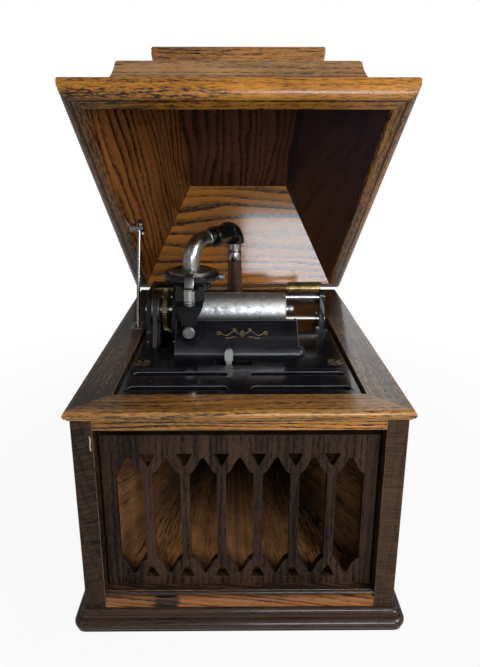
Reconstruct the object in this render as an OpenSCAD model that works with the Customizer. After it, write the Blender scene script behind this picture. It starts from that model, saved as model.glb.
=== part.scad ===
// Table-top cylinder phonograph: oak cabinet with an inside horn, hipped lid on a stay, and a spring motor
// that turns a tapered mandrel by a belt. Millimetres, +Z up, front towards -Y, origin under the base's centre.

/* [Cabinet] */
// Width over the corner posts
cabinet_w = 310; // [290:1:340]
// Depth over the corner posts
cabinet_d = 414; // [390:1:440]
// Height of the rim's top face
cabinet_h = 240; // [225:1:260]
// Height of the base moulding
base_h = 20; // [18:0.5:26]
// How far the base stands out past the posts
base_overhang = 12; // [12:0.5:18]
// How far the rim stands out past the posts
rim_overhang = 5; // [3:0.5:8]
// Thickness of the rim frame
rim_t = 10; // [9:0.5:14]
// Width of the rim's rails, inwards from the posts' faces
rim_rail = 33; // [28:0.5:36]
// Width of a corner post
post_w = 20; // [16:0.5:24]
// Thickness of the side, back and bottom boards
board_t = 10; // [8:0.5:12]
// Height of the front rail under the rim
top_rail_h = 11; // [8:0.5:16]
// Height of the front rail over the base, sill included
bottom_rail_h = 17; // [14:0.5:22]

/* [Grille] */
// Depth of the grille's face behind the posts
grille_recess = 12; // [8:0.5:16]
// Thickness of the grille panel
grille_t = 8; // [6:0.5:10]
// Gap over the lift-out panel
grille_over = 12; // [8:0.5:16]
// Gap at each side of the lift-out panel
grille_gap = 2.5; // [1:0.25:4]
// Number of tall windows
window_count = 7; // [5:1:7]
// Width of a window
window_w = 26.8; // [22:0.2:29]
// Distance from window to window
window_pitch = 35.5; // [34:0.25:36]
// Panel left solid under the windows' lower points
window_foot = 13.5; // [10:0.5:20]
// Panel left solid over the windows' upper points
window_head = 24; // [18:0.5:30]

/* [Lid] */
// Height of the lid over its lower edge
lid_h = 143.5; // [140:0.5:152]
// Angle of the lid as it stands open
lid_angle = 39.2; // [30:0.1:45]
// How far the lid's rim stands out past the cabinet's rim
lid_spread = 10; // [6:0.5:12]
// Height of the lid's rim moulding
lid_rim_h = 20; // [18:0.5:26]
// Height at which the coved tier ends and the cap starts
tier_h = 106.5; // [103:0.5:113]
// Width of the cap
cap_w = 200; // [196:1:210]
// Depth of the cap
cap_d = 290; // [286:1:300]
// Thickness of the boards that line the lid
lining_t = 6; // [4:0.5:8]
// Clear height inside the lid
lid_inside_h = 136; // [133:0.5:140]
// Width of the lid's ceiling
ceiling_w = 152; // [146:1:156]
// Depth of the lid's ceiling
ceiling_d = 246; // [240:1:250]
// Gap under the closed lid
lid_gap = 0.6; // [0.4:0.1:1.5]
// Distance from the hinge to the stay's pivot
stay_reach = 184; // [170:1:195]
// Length of the stay rod under its pivot
stay_len = 146; // [140:1:160]
// Diameter of the stay rod
stay_d = 4.4; // [3:0.1:5]

/* [Bedplate] */
// How far the bedplate lies under the rim's top
bed_drop = 5; // [3:0.5:8]
// Thickness of the bedplate
bed_t = 5; // [4:0.5:6]
// Depth of the slotted vent plate
vent_d = 71.5; // [66:0.5:74]
// Length of a vent slot
slot_l = 100; // [80:1:108]
// Width of a vent slot
slot_w = 10; // [6:0.5:12]

/* [Mandrel and carriage] */
// Height of the mandrel's axis over the bedplate
mandrel_rise = 36; // [35:0.25:38]
// Length of the tapered mandrel
mandrel_l = 116; // [112:1:118]
// Diameter at the mandrel's left end
mandrel_d1 = 43; // [41:0.25:45]
// Diameter at the mandrel's right end
mandrel_d2 = 41; // [39:0.25:42]
// Diameter of the mandrel's shaft
shaft_d = 10; // [8:0.25:11]
// Distance of the guide rod behind the mandrel's axis
guide_back = 37; // [36:0.25:39]
// Height of the guide rod over the mandrel's axis
guide_up = 5; // [4:0.25:7]
// Diameter of the guide rod and the feed screw
rod_d = 8; // [6:0.25:9]
// Distance of the feed screw behind the mandrel's axis
feed_back = 36; // [35:0.25:38]
// Distance of the feed screw under the mandrel's axis
feed_down = 24; // [22:0.25:25]
// Where the carriage stands along the mandrel
carriage_x = -58; // [-60:0.5:-57]
// Diameter of the reproducer
reproducer_d = 70; // [60:1:72]
// Diameter of the nickel neck tube
neck_d = 20; // [18:0.25:21]
// Place of the tone post from side to side
tone_x = -5; // [-10:0.5:0]
// Place of the tone post behind the mandrel's axis
tone_y = 105; // [102:0.5:110]
// Height of the tone arm's axis over the bedplate
tone_rise = 119; // [116:0.5:120]

/* [Motor] */
// Tooth size of the motor's gears
gear_module = 1; // [0.9:0.05:1.05]
// Diameter of the spring barrel
barrel_d = 74; // [64:1:74]
// Length of the spring barrel
barrel_l = 72; // [60:1:74]
// Teeth of the great gear on the barrel
great_teeth = 80; // [76:1:82]
// Teeth of the second arbor's pinion
second_pinion_teeth = 16; // [14:1:18]
// Teeth of the second arbor's wheel
second_wheel_teeth = 60; // [56:1:62]
// Teeth of the pulley arbor's pinion
pulley_pinion_teeth = 15; // [14:1:16]
// Teeth of the pulley arbor's wheel
governor_wheel_teeth = 48; // [44:1:50]
// Teeth of the governor's pinion
governor_pinion_teeth = 14; // [13:1:16]
// Teeth of the winding gear
winding_gear_teeth = 40; // [36:1:42]
// Teeth of the winding shaft's pinion
winding_pinion_teeth = 20; // [18:1:22]
// Teeth of the gear on the mandrel's shaft
mandrel_gear_teeth = 50; // [46:1:52]
// Teeth of the gear on the feed screw
feed_gear_teeth = 34; // [32:1:36]
// Diameter of an arbor
arbor_d = 6; // [5:0.25:7]
// Diameter of the drive pulley's groove
drive_pulley_d = 24; // [20:0.5:26]
// Diameter of the mandrel pulley's groove
mandrel_pulley_d = 32; // [28:0.5:34]
// Diameter of the crank's socket in the winding shaft
socket_d = 8; // [6:0.25:9]
// Depth of the crank's socket
socket_depth = 22; // [15:1:30]

/* [Hidden] */
$fn = 64;
run_gap = 0.05;   // radial clearance of a shaft in its bearing
seat_gap = 0.02;  // radial clearance of a part fixed on its shaft
face_gap = 0.4;   // clearance of faces that pass each other
past = 1;         // how far a cut runs past a face
tooth_fill = 0.78; // share of the pitch line's half pitch that a tooth takes

oak = [0.42, 0.25, 0.11];
dark_oak = [0.2, 0.11, 0.07];
enamel = [0.05, 0.05, 0.06];
nickel = [0.72, 0.71, 0.68];
brass = [0.72, 0.53, 0.24];
iron = [0.3, 0.3, 0.31];
leather = [0.35, 0.22, 0.13];
tube_brown = [0.25, 0.14, 0.1];

// Cabinet
half_w = cabinet_w / 2;
half_d = cabinet_d / 2;
rim_under = cabinet_h - rim_t;
open_w = half_w - rim_rail;
rail_less = 2;
open_d = half_d - rim_rail + rail_less;
post_in_x = half_w - post_w;
post_in_y = half_d - post_w;
panel_set = 2;
side_out = half_w - panel_set;
side_in = side_out - board_t;
base_corner_r = base_overhang + 0.5;
nosing_r = 4.5;
nosing_under = 3;
bead_r = 2.6;
bead_lip = 1;
plinth_h = base_h * 0.32;
plinth_in = 2;
torus_r = 6;
neck_low = base_h * 0.3;
neck_high = base_h * 0.7;
scotia_r = 5;
scotia_out = 4;
nosing_from = -60;
sill_set = 4;

// Grille
grille_front = -half_d + grille_recess;
grille_back = grille_front + grille_t;
sill_z = base_h + bottom_rail_h;
rail_low = rim_under - top_rail_h;
grille_h = rail_low - grille_over - sill_z;
grille_half = post_in_x - grille_gap;
tri_w = 16;
tri_h = 13.5;
tri_r = 2;
tip_r = 2.8;
band = 11.2;
tri_lean = atan2(tri_w / 2, tri_h - tri_r) - asin(tri_r / norm([tri_w / 2, tri_h - tri_r]));
tip_rise = (window_pitch / 2 - (band + tip_r) / cos(tri_lean)) / tan(tri_lean);
shoulder = acos((window_pitch - window_w) / 2 / band);

// Horn
horn_wall = 6;
horn_mouth_y = grille_back + 6;
horn_end_y = tone_y - 26;
horn_half_w = grille_half - 9;
horn_low = sill_z + 5;
horn_high = sill_z + grille_h - 4;
throat_half = 13;
throat_drop = 155;
throat_z = cabinet_h - bed_drop - bed_t - throat_drop;
pipe_r = 16;
pipe_bore = 12;
pipe_bend = 20;
pipe_flange = 4;

// Lid, drawn closed, b counted from its lower edge
hinge_y = half_d + rim_overhang + 3.5;
hinge_at = [hinge_y, cabinet_h + lid_gap / 2];
lid_z = cabinet_h + lid_gap;
hinge_z = cabinet_h + lid_gap / 2;
rim_half_w = half_w + rim_overhang;
rim_half_d = half_d + rim_overhang;
lid_half_w = rim_half_w + lid_spread;
lid_half_d = rim_half_d + lid_spread;
rim_flare = lid_spread + 1.5;
rim_rise = 15;
rim_flat = 11;
rim_roll = 3;
lining_w = lid_half_w - rim_flare - rim_flat;
lining_d = lid_half_d - rim_flare - rim_flat;
lip_h = 3;
lining_out = lining_t * 1.12;
cap_edge = 5;
cove_h = 80.5;
cove_in = 31 + lid_spread;
cove_sweep = 19;
ledge_roll = [2, 3.5];
ledge_edge = [6, 5];
cap_bead = 3;
cap_waist = 4;
cap_roll = 2;
hinge_x = 108;
leaf_w = 54;
leaf_t = 1.6;
leaf_in = 19.5;
knuckle_r = 3.2;
hinge_pin_r = 1.6;

// Stay: its pivot on the lid and the slot in the rim lie equally far from the hinge
stay_b = 6;
stay_in = 14.5;
stay_x = -(lining_w - stay_in);
pivot_dz = lid_z + stay_b - hinge_z;
pivot_y = hinge_y - sqrt(stay_reach * stay_reach - pivot_dz * pivot_dz);
guide_dz = cabinet_h - hinge_z;
guide_y = hinge_y - sqrt(stay_reach * stay_reach - guide_dz * guide_dz);
pivot_turn = atan2(pivot_dz, hinge_y - pivot_y);
guide_turn = atan2(guide_dz, hinge_y - guide_y);
stay_tilt = (pivot_turn + guide_turn) / 2;
stay_eye_r = 4;
stay_pin_r = 1.5;
stay_slot_w = stay_d + 0.8;
stay_stop_r = stay_d / 2 + 1.2;
stay_clear = 2;
stay_slot_front = 12;
stay_slot_back = 6;
guide_edge = 5;
guide_t = 0.4;
boss_r = 6;
boss_head_r = 3;
boss_head = 4;
boss_span = 10;
boss_cut = 30;
stay_eye_w = 3.2;

// Bedplate
bed_z = cabinet_h - bed_drop;
bed_low = bed_z - bed_t;
bed_half_w = open_w - 0.5;
bed_half_d = open_d - 0.5;
seam_y = -bed_half_d + vent_d;
seam_gap = 0.5;
cleat_h = 14;
cleat_w = 14;
cleat_in = open_w - cleat_w;
vent_rows = [0.33, 0.82];
vent_middle = 12;

// Mandrel, standards and rods
axis_z = bed_z + mandrel_rise;
mandrel_half = mandrel_l / 2;
mandrel_edge = 1.5;
shaft_end = 4;
end_boss_r = 6;
end_boss_l = 2;
end_nut_r = 4.6;
end_nut_l = 11.5;
feed_end = 2;
guide_z = axis_z + guide_up;
feed_z = axis_z - feed_down;
feed_c = sqrt(feed_back * feed_back + feed_down * feed_down);
feed_module = 2 * feed_c / (mandrel_gear_teeth + feed_gear_teeth);
left_out = -112;
left_plate = 5;
left_in = -76;
right_in = 106;
right_out = 112;
standard_h = 60;
standard_top = bed_z + standard_h;
left_front = -27;
left_behind = 22;
foot_out = 8;
foot_h = 3;
foot_rise = 10;
shoulder_z = 30;
shoulder_y = 18;
crown_drop = 6;
crown_y = 28;
crown_back = 12;
bar_w = 13;
tie_h = 14;
right_before = 10;
right_behind = 11;
right_over = 8;
right_foot = 6;
right_foot_t = 4;
right_bevel = [4, 5];
rod_end = 2;
gear_x = -92;
gear_t = 5;
pulley_x = -102;
pulley_t = 7;
casting_left = -75;
casting_right = 70;
casting_wall = 4;
casting_rise = 31;
casting_top = bed_z + casting_rise;
casting_foot = -64;
casting_ledge = 7;
casting_top_y = -30;
toe_h = 2.5;
toe_in = 4;
cheek_top = 8;
cheek_fall = 12;
cheek_waist = 22;
cheek_tail = 14;
cheek_back = 18;
bed_open = [left_out + left_plate, -42, gear_x + gear_t + 1, feed_back + 24];

// Carriage and tone arm
carriage_y = 2;
plate_low = axis_z + mandrel_d1 / 2 + 6.5;
plate_t = 6;
plate_high = plate_low + plate_t;
ring_r = 24;
ring_bore = 20.5;
disc_high = plate_high + 14;
face_t = 2.5;
face_high = disc_high + face_t;
tone_z = bed_z + tone_rise;
neck_bend = 24;
neck_straight = 39;
neck_reach = 66;
neck_bore = 6;
neck_foot_h = 3;
neck_foot_out = 2;
swivel_gap = 0.3;
sleeve_lap = 4;
spigot_r = 7.5;
sleeve_bore = 9.6;
sleeve_r = 12;
sleeve_reach = 62;
arm_bend = 18;
arm_r = 13;
collar_h = 12;
collar_low = tone_z - arm_bend - collar_h;
collar_r = 8.5;
collar_bead = 0.75;
post_foot_r = 12.5;
post_flange_r = post_foot_r + 5;
post_flange_t = 3;
swivel_r = 6;
swivel_h = 10;
tone_turn = atan2(carriage_x - tone_x, tone_y - carriage_y);
knob_y = -56;
knob_z = bed_z + 25;
post_y = -41;
post_low = bed_z + 53;
post_r = 6.5;
post_groove = 1.5;
post_proud = 3;
knob_r = 7;
arm_wide = 17;
arm_narrow = 8.7;
arm_neck = [14, 19, 25, 32];
arm_step = [3, 2];
arm_back = -27;
arm_knee = [-36, 11];
arm_lip = 4;
pad_r = 8;
pad_t = 6;
knob_pin_r = 2;
knob_t = 4;
carriage_half = 16;
tail_w = 10;
tail_back = 6;
sleeve_wall = 5;
half_nut_w = 6;
half_nut_d = 5;
bridge_w = 7;
disc_bevel = 6;
disc_edge = [8, 11];
disc_roll = 2;
face_in = 7;
face_rim = 5;
face_dish_r = 14;
stylus_r = 2;
stylus_l = 5;

// Start lever
lever_x = -6;
lever_y = -25;
lever_reach = 62;
lever_rest = -5;
lever_swing = 21;
lever_slot = 6;
lever_t = 3;
lever_eye = 4;
paddle_low = 3;
paddle_top = 12;
paddle_r = 4.5;
stud_r = 4;
stud_h = 9;

// Motor: axes as [y, z]; each next axis lies a mesh distance away in a chosen direction
function mesh(n1, n2) = gear_module * (n1 + n2) / 2;
function step(from, reach, turn) = [from[0] + reach * cos(turn), from[1] + reach * sin(turn)];
barrel_back = 45;
barrel_drop = 52;
barrel_at = [barrel_back, bed_low - barrel_drop];
second_turn = 163;
pulley_turn = 196;
governor_turn = 165;
winding_turn = -37;
second_at = step(barrel_at, mesh(great_teeth, second_pinion_teeth), second_turn);
pulley_at = step(second_at, mesh(second_wheel_teeth, pulley_pinion_teeth), pulley_turn);
governor_at = step(pulley_at, mesh(governor_wheel_teeth, governor_pinion_teeth), governor_turn);
winding_at = step(barrel_at, mesh(winding_gear_teeth, winding_pinion_teeth), winding_turn);
mandrel_at = [0, axis_z];
feed_at = [feed_back, feed_z];
guide_at = [guide_back, guide_z];
motor_left = -82;
motor_right = 35;
motor_plate_t = 4;
plate_front = 22;
plate_back = 48;
plate_brow = 16;
plate_in = 12;
plate_chin = 18;
plate_under = 45;
plate_sole = 25;
motor_gap = 2;
great_gap = 8;
winding_gap = 3;
great_x = motor_left + motor_plate_t + great_gap;
barrel_x = great_x + gear_t + motor_gap;
second_wheel_x = barrel_x + barrel_l + motor_gap;
winding_x = second_wheel_x + gear_t + winding_gap;
governor_x = -34;
governor_disc_x = 10;
weight_r = 5;
weight_orbit = 10;
escutcheon_r = 16;
barrel_arbor_r = 5;
barrel_hub_r = 14;
governor_disc_r = 17;
governor_disc_t = 2.5;
governor_hub_r = 9;
governor_hub_t = 3;
governor_hub_x = governor_x + 12;
spring_r = 1.2;
spring_orbit = 8;
weight_x = governor_x + 22;
weight_l = 10;
winding_shaft_r = 7;
winding_room = 2;
escutcheon_t = 2;
winding_proud = 1.5;
belt_t = 1.6;
belt_w = 5;
flange = 2.5;
flange_t = 0.8;
pillar_r = 4;
pillar_front = [14, 12];
pillar_low = [6, 38];
pillar_rear = [36, 10];
pillar_at = [[governor_at[0] - pillar_front[0], bed_low - pillar_front[1]], second_at - pillar_low,
    [barrel_at[0] + pillar_rear[0], bed_low - pillar_rear[1]]];

// A flat outline in Y and Z, drawn out from x0 to x1
module along_x(x0, x1) {
    translate([x0, 0, 0])
        rotate([90, 0, 90])
            linear_extrude(x1 - x0)
                children();
}

// A flat outline in X and Z, drawn out from y0 to y1
module along_y(y0, y1) {
    translate([0, y1, 0])
        rotate([90, 0, 0])
            linear_extrude(y1 - y0)
                children();
}

module block(low, high) {
    translate(low)
        cube(high - low);
}

module rod_x(x0, x1, at, r) {
    translate([x0, at[0], at[1]])
        rotate([0, 90, 0])
            cylinder(h = x1 - x0, r = r);
}

// A rectangular frame of a flat profile; the profile's x is 0 on the path and negative inwards
module moulding_loop(w, d, r) {
    for (side = [-1, 1]) {
        translate([side * (w / 2), 0, 0])
            rotate([0, 0, side > 0 ? 0 : 180])
                along_y(-d / 2 + r, d / 2 - r)
                    children();
        translate([0, side * (d / 2), 0])
            rotate([0, 0, side * 90])
                along_y(-w / 2 + r, w / 2 - r)
                    children();
        for (end = [-1, 1])
            translate([side * (w / 2 - r), end * (d / 2 - r), 0])
                rotate([0, 0, side > 0 ? (end > 0 ? 0 : 270) : (end > 0 ? 90 : 180)])
                    rotate_extrude(angle = 90)
                        translate([r, 0])
                            children();
    }
}

// A solid with the same kind of outline from the front and from the side, mitred at its corners
module mitred(w, d) {
    intersection() {
        along_y(-d, d)
            children(0);
        along_x(-w, w)
            children(1);
    }
}

function mirrored(side) = concat(side, [for (i = [len(side) - 1 : -1 : 0]) [-side[i][0], side[i][1]]]);

// A toothed wheel with its tooth number 0 at the angle "turn"
module gear_outline(n, m, turn) {
    tip = m * (n / 2 + 0.9);
    root = m * (n / 2 - 1.2);
    half = 90 / n * tooth_fill;
    lean = atan(0.33 * m / (m * n / 2));
    polygon([for (i = [0 : n - 1])
        for (p = [[root, -half - lean], [tip, -half + lean], [tip, half - lean], [root, half + lean]])
            p[0] * [cos(turn + 360 * i / n + p[1]), sin(turn + 360 * i / n + p[1])]]);
}

module gear(x, n, m, at, turn, bore) {
    along_x(x, x + gear_t)
        translate(at)
            difference() {
                gear_outline(n, m, turn);
                if (bore > 0)
                    circle(r = bore);
            }
}

// Turn of a gear whose gap faces the tooth of its partner, which lies in the direction "turn"
function gap_turn(turn, n) = turn + 180 + 180 / n;

// A bent tube: up from the origin, round a quarter bend and on along +Y to "reach"
module elbow(r, bend, up, reach) {
    cylinder(h = up, r = r);
    translate([0, bend, up])
        rotate([0, 0, -90])
            rotate([90, 0, 0])
                rotate_extrude(angle = 90)
                    translate([bend, 0])
                        circle(r = r);
    if (reach > bend)
        translate([0, bend, up + bend])
            rotate([-90, 0, 0])
                cylinder(h = reach - bend, r = r);
}

module lid_pose() {
    translate([0, hinge_y, hinge_z])
        rotate([-lid_angle, 0, 0])
            translate([0, -hinge_y, -hinge_z])
                children();
}

// Cabinet

module base_profile() {
    translate([-base_overhang, 0])
        square([base_overhang - plinth_in, plinth_h]);
    translate([-torus_r, plinth_h])
        circle(r = torus_r);
    translate([-base_overhang, neck_low])
        square([base_overhang - torus_r, neck_high + past - neck_low]);
    difference() {
        translate([-base_overhang, neck_high])
            square([base_overhang - scotia_r, base_h - neck_high]);
        translate([-scotia_out, base_h + past])
            circle(r = scotia_r);
    }
}

module base_moulding() {
    outer_w = cabinet_w + 2 * base_overhang;
    outer_d = cabinet_d + 2 * base_overhang;
    color(dark_oak)
        union() {
            moulding_loop(outer_w, outer_d, base_corner_r)
                intersection() {
                    base_profile();
                    translate([-base_overhang, 0])
                        square([base_overhang, base_h]);
                }
            difference() {
                block([-half_w, -half_d, 0], [half_w, half_d, base_h]);
                block([-post_in_x, -post_in_y, -past], [post_in_x, post_in_y, base_h + past]);
            }
        }
}

module bottom_board() {
    color(dark_oak)
        block([-post_in_x, -post_in_y, 0], [post_in_x, post_in_y, board_t]);
}

module corner_posts() {
    color(dark_oak)
        for (sx = [-1, 1], sy = [-1, 1])
            translate([sx * (half_w - post_w / 2), sy * (half_d - post_w / 2), (base_h + rim_under) / 2])
                cube([post_w, post_w, rim_under - base_h], center = true);
}

module side_board(side) {
    low = side < 0 ? -side_out : side_in;
    block([low, -post_in_y, base_h], [low + board_t, post_in_y, rim_under]);
}

module side_panel_left() {
    color(dark_oak)
        side_board(-1);
}

module side_panel_right() {
    color(dark_oak)
        difference() {
            side_board(1);
            rod_x(side_in - past, side_out + past, winding_at, winding_shaft_r + winding_room);
        }
}

module back_panel() {
    color(dark_oak)
        block([-post_in_x, half_d - panel_set - board_t, base_h], [post_in_x, half_d - panel_set, rim_under]);
}

module top_rail() {
    color(oak)
        block([-post_in_x, -half_d, rail_low], [post_in_x, -post_in_y, rim_under]);
}

module bottom_rail() {
    step_z = sill_z - 2 * bead_r - bead_lip;
    color(oak)
        along_x(-post_in_x, post_in_x) {
            translate([-half_d, base_h])
                square([post_w, step_z - base_h]);
            translate([-half_d + sill_set, step_z])
                square([post_w - sill_set, sill_z - step_z]);
            translate([-half_d + sill_set, step_z + bead_r + bead_lip / 2])
                circle(r = bead_r);
        }
}

// The rim's edge seen end on: a set-back foot, a rounded nosing and the flat top
function rim_edge(half) = concat(
    [[half - nosing_under, rim_under], [half - nosing_under, cabinet_h - 2 * nosing_r]],
    arc([half - nosing_r, cabinet_h - nosing_r], nosing_r, nosing_from, 90, 8));

module rim_frame() {
    color(oak)
        difference() {
            mitred(rim_half_w + past, rim_half_d + past) {
                polygon(mirrored(rim_edge(rim_half_w)));
                polygon(mirrored(rim_edge(rim_half_d)));
            }
            block([-open_w, -open_d, rim_under - past], [open_w, open_d, cabinet_h + past]);
            for (side = [-1, 1])
                block([side * hinge_x - leaf_w / 2, hinge_y - leaf_in, cabinet_h - leaf_t],
                    [side * hinge_x + leaf_w / 2, hinge_y, cabinet_h + past]);
            stay_slot(rim_under - past, cabinet_h + past, 0);
        }
}

module stay_slot(low, high, wider) {
    block([stay_x - stay_slot_w / 2 - wider, guide_y - stay_slot_front - wider, low],
        [stay_x + stay_slot_w / 2 + wider, guide_y + stay_slot_back + wider, high]);
}

function arc(at, r, from, to, n) = [for (i = [0 : n])
    at + r * [cos(from + (to - from) * i / n), sin(from + (to - from) * i / n)]];

// A window's upper half: up the band round one triangle, over the tip and down the band round the next
function window_top(tip) = concat(
    arc([window_pitch / 2, tip - tip_r - tip_rise], band, 180 + shoulder, 180 + tri_lean, 6),
    arc([0, tip - tip_r], tip_r, tri_lean, 180 - tri_lean, 6),
    arc([-window_pitch / 2, tip - tip_r - tip_rise], band, -tri_lean, -shoulder, 6));

function triangle(apex) = concat(
    arc([0, apex + tri_r], tri_r, 180 + tri_lean, 360 - tri_lean, 6),
    [[tri_w / 2, apex + tri_h], [-tri_w / 2, apex + tri_h]]);

module grille_panel() {
    low_tip = sill_z + window_foot;
    high_tip = sill_z + grille_h - window_head;
    tip = (high_tip - low_tip) / 2;
    top = window_top(tip);
    notch = triangle(tip - tip_r - tip_rise - tri_r);
    first = -(window_count - 1) / 2 * window_pitch;
    color(dark_oak)
        along_y(grille_front, grille_back)
            difference() {
                translate([-grille_half, sill_z])
                    square([2 * grille_half, grille_h]);
                for (i = [0 : window_count - 1])
                    translate([first + i * window_pitch, (low_tip + high_tip) / 2])
                        polygon(concat(top, -top));
                for (i = [0 : window_count - 2])
                    translate([first + (i + 0.5) * window_pitch, (low_tip + high_tip) / 2]) {
                        polygon(notch);
                        polygon(-notch);
                    }
            }
}

module horn_board() {
    color(dark_oak)
        difference() {
            block([-post_in_x, grille_back, sill_z], [post_in_x, horn_mouth_y, rail_low]);
            block([-horn_half_w, grille_back - past, horn_low], [horn_half_w, horn_mouth_y + past, horn_high]);
        }
}

// The horn's corners at the mouth and at the throat, counted round from the lower left one
horn_sign = [[-1, -1], [1, -1], [1, 1], [-1, 1]];

function horn_mouth(i, grow) = [horn_sign[i][0] * (horn_half_w + grow), horn_mouth_y,
    (horn_high + horn_low) / 2 + horn_sign[i][1] * ((horn_high - horn_low) / 2 + grow)];

function horn_throat(i, grow) = [tone_x + horn_sign[i][0] * (throat_half + grow), horn_end_y,
    throat_z + horn_sign[i][1] * (throat_half + grow)];

// One mitred board of the horn, between two of its corners
module horn_plank(i, j) {
    polyhedron([horn_mouth(i, 0), horn_mouth(j, 0), horn_mouth(j, horn_wall), horn_mouth(i, horn_wall),
        horn_throat(i, 0), horn_throat(j, 0), horn_throat(j, horn_wall), horn_throat(i, horn_wall)],
        [[0, 1, 2, 3], [7, 6, 5, 4], [0, 4, 5, 1], [1, 5, 6, 2], [2, 6, 7, 3], [3, 7, 4, 0]]);
}

module horn_sides() {
    color(oak) {
        horn_plank(1, 2);
        horn_plank(3, 0);
    }
}

module horn_decks() {
    color(oak) {
        horn_plank(0, 1);
        horn_plank(2, 3);
    }
}

module horn_elbow() {
    drop = bed_low - throat_z - pipe_bend;
    run = tone_y - horn_end_y;
    half = throat_half + horn_wall;
    color(iron)
        difference() {
            union() {
                translate([tone_x, tone_y, bed_low])
                    rotate([180, 0, 0])
                        elbow(pipe_r, pipe_bend, drop, run - past);
                block([tone_x - half, horn_end_y, throat_z - half],
                    [tone_x + half, horn_end_y + pipe_flange, throat_z + half]);
            }
            translate([tone_x, tone_y, bed_low + past])
                rotate([180, 0, 0])
                    elbow(pipe_bore, pipe_bend, drop + past, run + past);
        }
}

module bed_cleats() {
    color(dark_oak)
        difference() {
            for (side = [-1, 1])
                block([side < 0 ? -side_in : cleat_in, horn_mouth_y, bed_low - cleat_h],
                    [side < 0 ? -cleat_in : side_in, post_in_y, bed_low]);
            stay_slot(bed_low - cleat_h - past, bed_low + past, stay_clear);
        }
}

// Bedplate and what stands on it

module bedplate() {
    color(enamel)
        difference() {
            union() {
                block([-bed_half_w, seam_y + seam_gap, bed_low], [bed_half_w, bed_half_d, bed_z]);
                translate([lever_x, lever_y, bed_low - stud_h])
                    cylinder(h = stud_h + past, r = stud_r);
            }
            block([bed_open[0], bed_open[1], bed_low - past], [bed_open[2], bed_open[3], bed_z + past]);
            translate([tone_x, tone_y, bed_low - past])
                cylinder(h = bed_t + 2 * past, r = pipe_bore);
            block([lever_x - lever_swing, lever_y - lever_reach - lever_slot, bed_low - past],
                [lever_x + lever_swing, lever_y - lever_reach + lever_slot, bed_z + past]);
        }
}

module vent_plate() {
    color(enamel)
        difference() {
            block([-bed_half_w, -bed_half_d, bed_low], [bed_half_w, seam_y, bed_z]);
            for (side = [-1, 1], row = vent_rows)
                translate([side * (slot_l / 2 + vent_middle), -bed_half_d + row * vent_d, bed_low - past])
                    slot(slot_l, slot_w, bed_t + 2 * past);
        }
}

module slot(l, w, h) {
    translate([-l / 2 + w / 2, -w / 2, 0])
        cube([l - w, w, h]);
    for (side = [-1, 1])
        translate([side * (l - w) / 2, 0, 0])
            cylinder(h = h, r = w / 2);
}

module body_casting() {
    ledge_y = casting_foot + casting_ledge;
    ledge_z = bed_z + casting_ledge;
    color(enamel)
        union() {
            along_x(casting_left, casting_right)
                polygon([[casting_foot, bed_z], [casting_foot, bed_z + toe_h],
                    [casting_foot + toe_in, bed_z + toe_in],
                    [ledge_y, ledge_z], [casting_top_y, casting_top],
                    [casting_top_y + casting_wall, casting_top - casting_wall / 2],
                    [ledge_y + casting_wall, ledge_z - casting_wall / 2], [ledge_y + casting_wall, bed_z]]);
            for (x = [casting_left, casting_right - casting_wall])
                along_x(x, x + casting_wall)
                    polygon([[ledge_y, bed_z], [ledge_y, ledge_z], [casting_top_y, casting_top],
                        [casting_top_y + cheek_top, casting_top], [casting_top_y + cheek_fall, bed_z + cheek_waist],
                        [cheek_back - panel_set, bed_z + cheek_tail], [cheek_back, bed_z]]);
        }
}

module standard_outline(front, back) {
    polygon([[front - foot_out, bed_z], [front - foot_out, bed_z + foot_h], [front, bed_z + foot_rise],
        [front, bed_z + shoulder_z], [front + shoulder_y, standard_top - crown_drop],
        [front + crown_y, standard_top], [back - crown_back, standard_top], [back, standard_top - crown_back],
        [back, bed_z]]);
}

module left_standard() {
    back = guide_back + left_behind;
    color(enamel)
        difference() {
            union() {
                for (x = [left_out, left_in - left_plate])
                    along_x(x, x + left_plate)
                        standard_outline(left_front, back);
                block([left_out, back - 2 * bar_w, standard_top - left_plate], [left_in, back - bar_w, standard_top]);
                block([left_out, back - casting_wall, bed_z], [left_in, back, bed_z + tie_h]);
            }
            rod_x(left_out - past, left_in + past, mandrel_at, shaft_d / 2 + run_gap);
            rod_x(left_out - past, left_in + past, feed_at, rod_d / 2 + run_gap);
            rod_x(left_out + left_plate / 2, left_in + past, guide_at, rod_d / 2 + seat_gap);
        }
}

module right_standard() {
    front = guide_back - right_before;
    back = guide_back + right_behind;
    top = guide_z + right_over;
    color(enamel)
        difference() {
            union() {
                along_x(right_in, right_out)
                    polygon([[front, bed_z], [front, top - right_bevel[1]], [front + right_bevel[0], top],
                        [back - right_bevel[0], top], [back, top - right_bevel[1]], [back, bed_z]]);
                block([right_in - right_foot, front - right_behind, bed_z],
                    [right_out + right_foot / 2, back + right_foot, bed_z + right_foot_t]);
            }
            rod_x(right_in - past, right_out + past, feed_at, rod_d / 2 + run_gap);
            rod_x(right_in - past, right_out - rod_end, guide_at, rod_d / 2 + seat_gap);
        }
}

module guide_rod() {
    color(nickel)
        rod_x(left_out + left_plate / 2, right_out - rod_end, guide_at, rod_d / 2);
}

module tone_post() {
    color(tube_brown)
        translate([tone_x, tone_y, bed_z])
            rotate_extrude()
                polygon([[0, 0], [post_flange_r, 0], [post_flange_r, post_flange_t],
                    [post_foot_r, post_flange_t + past],
                    [collar_r, collar_low - bed_z], [swivel_r, collar_low - bed_z],
                    [swivel_r, collar_low - bed_z + swivel_h], [0, collar_low - bed_z + swivel_h]]);
}

// The outline of a belt that runs round two pulleys
module belt_outline(a, ra, b, rb) {
    hull() {
        translate(a)
            circle(r = ra);
        translate(b)
            circle(r = rb);
    }
}

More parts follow.
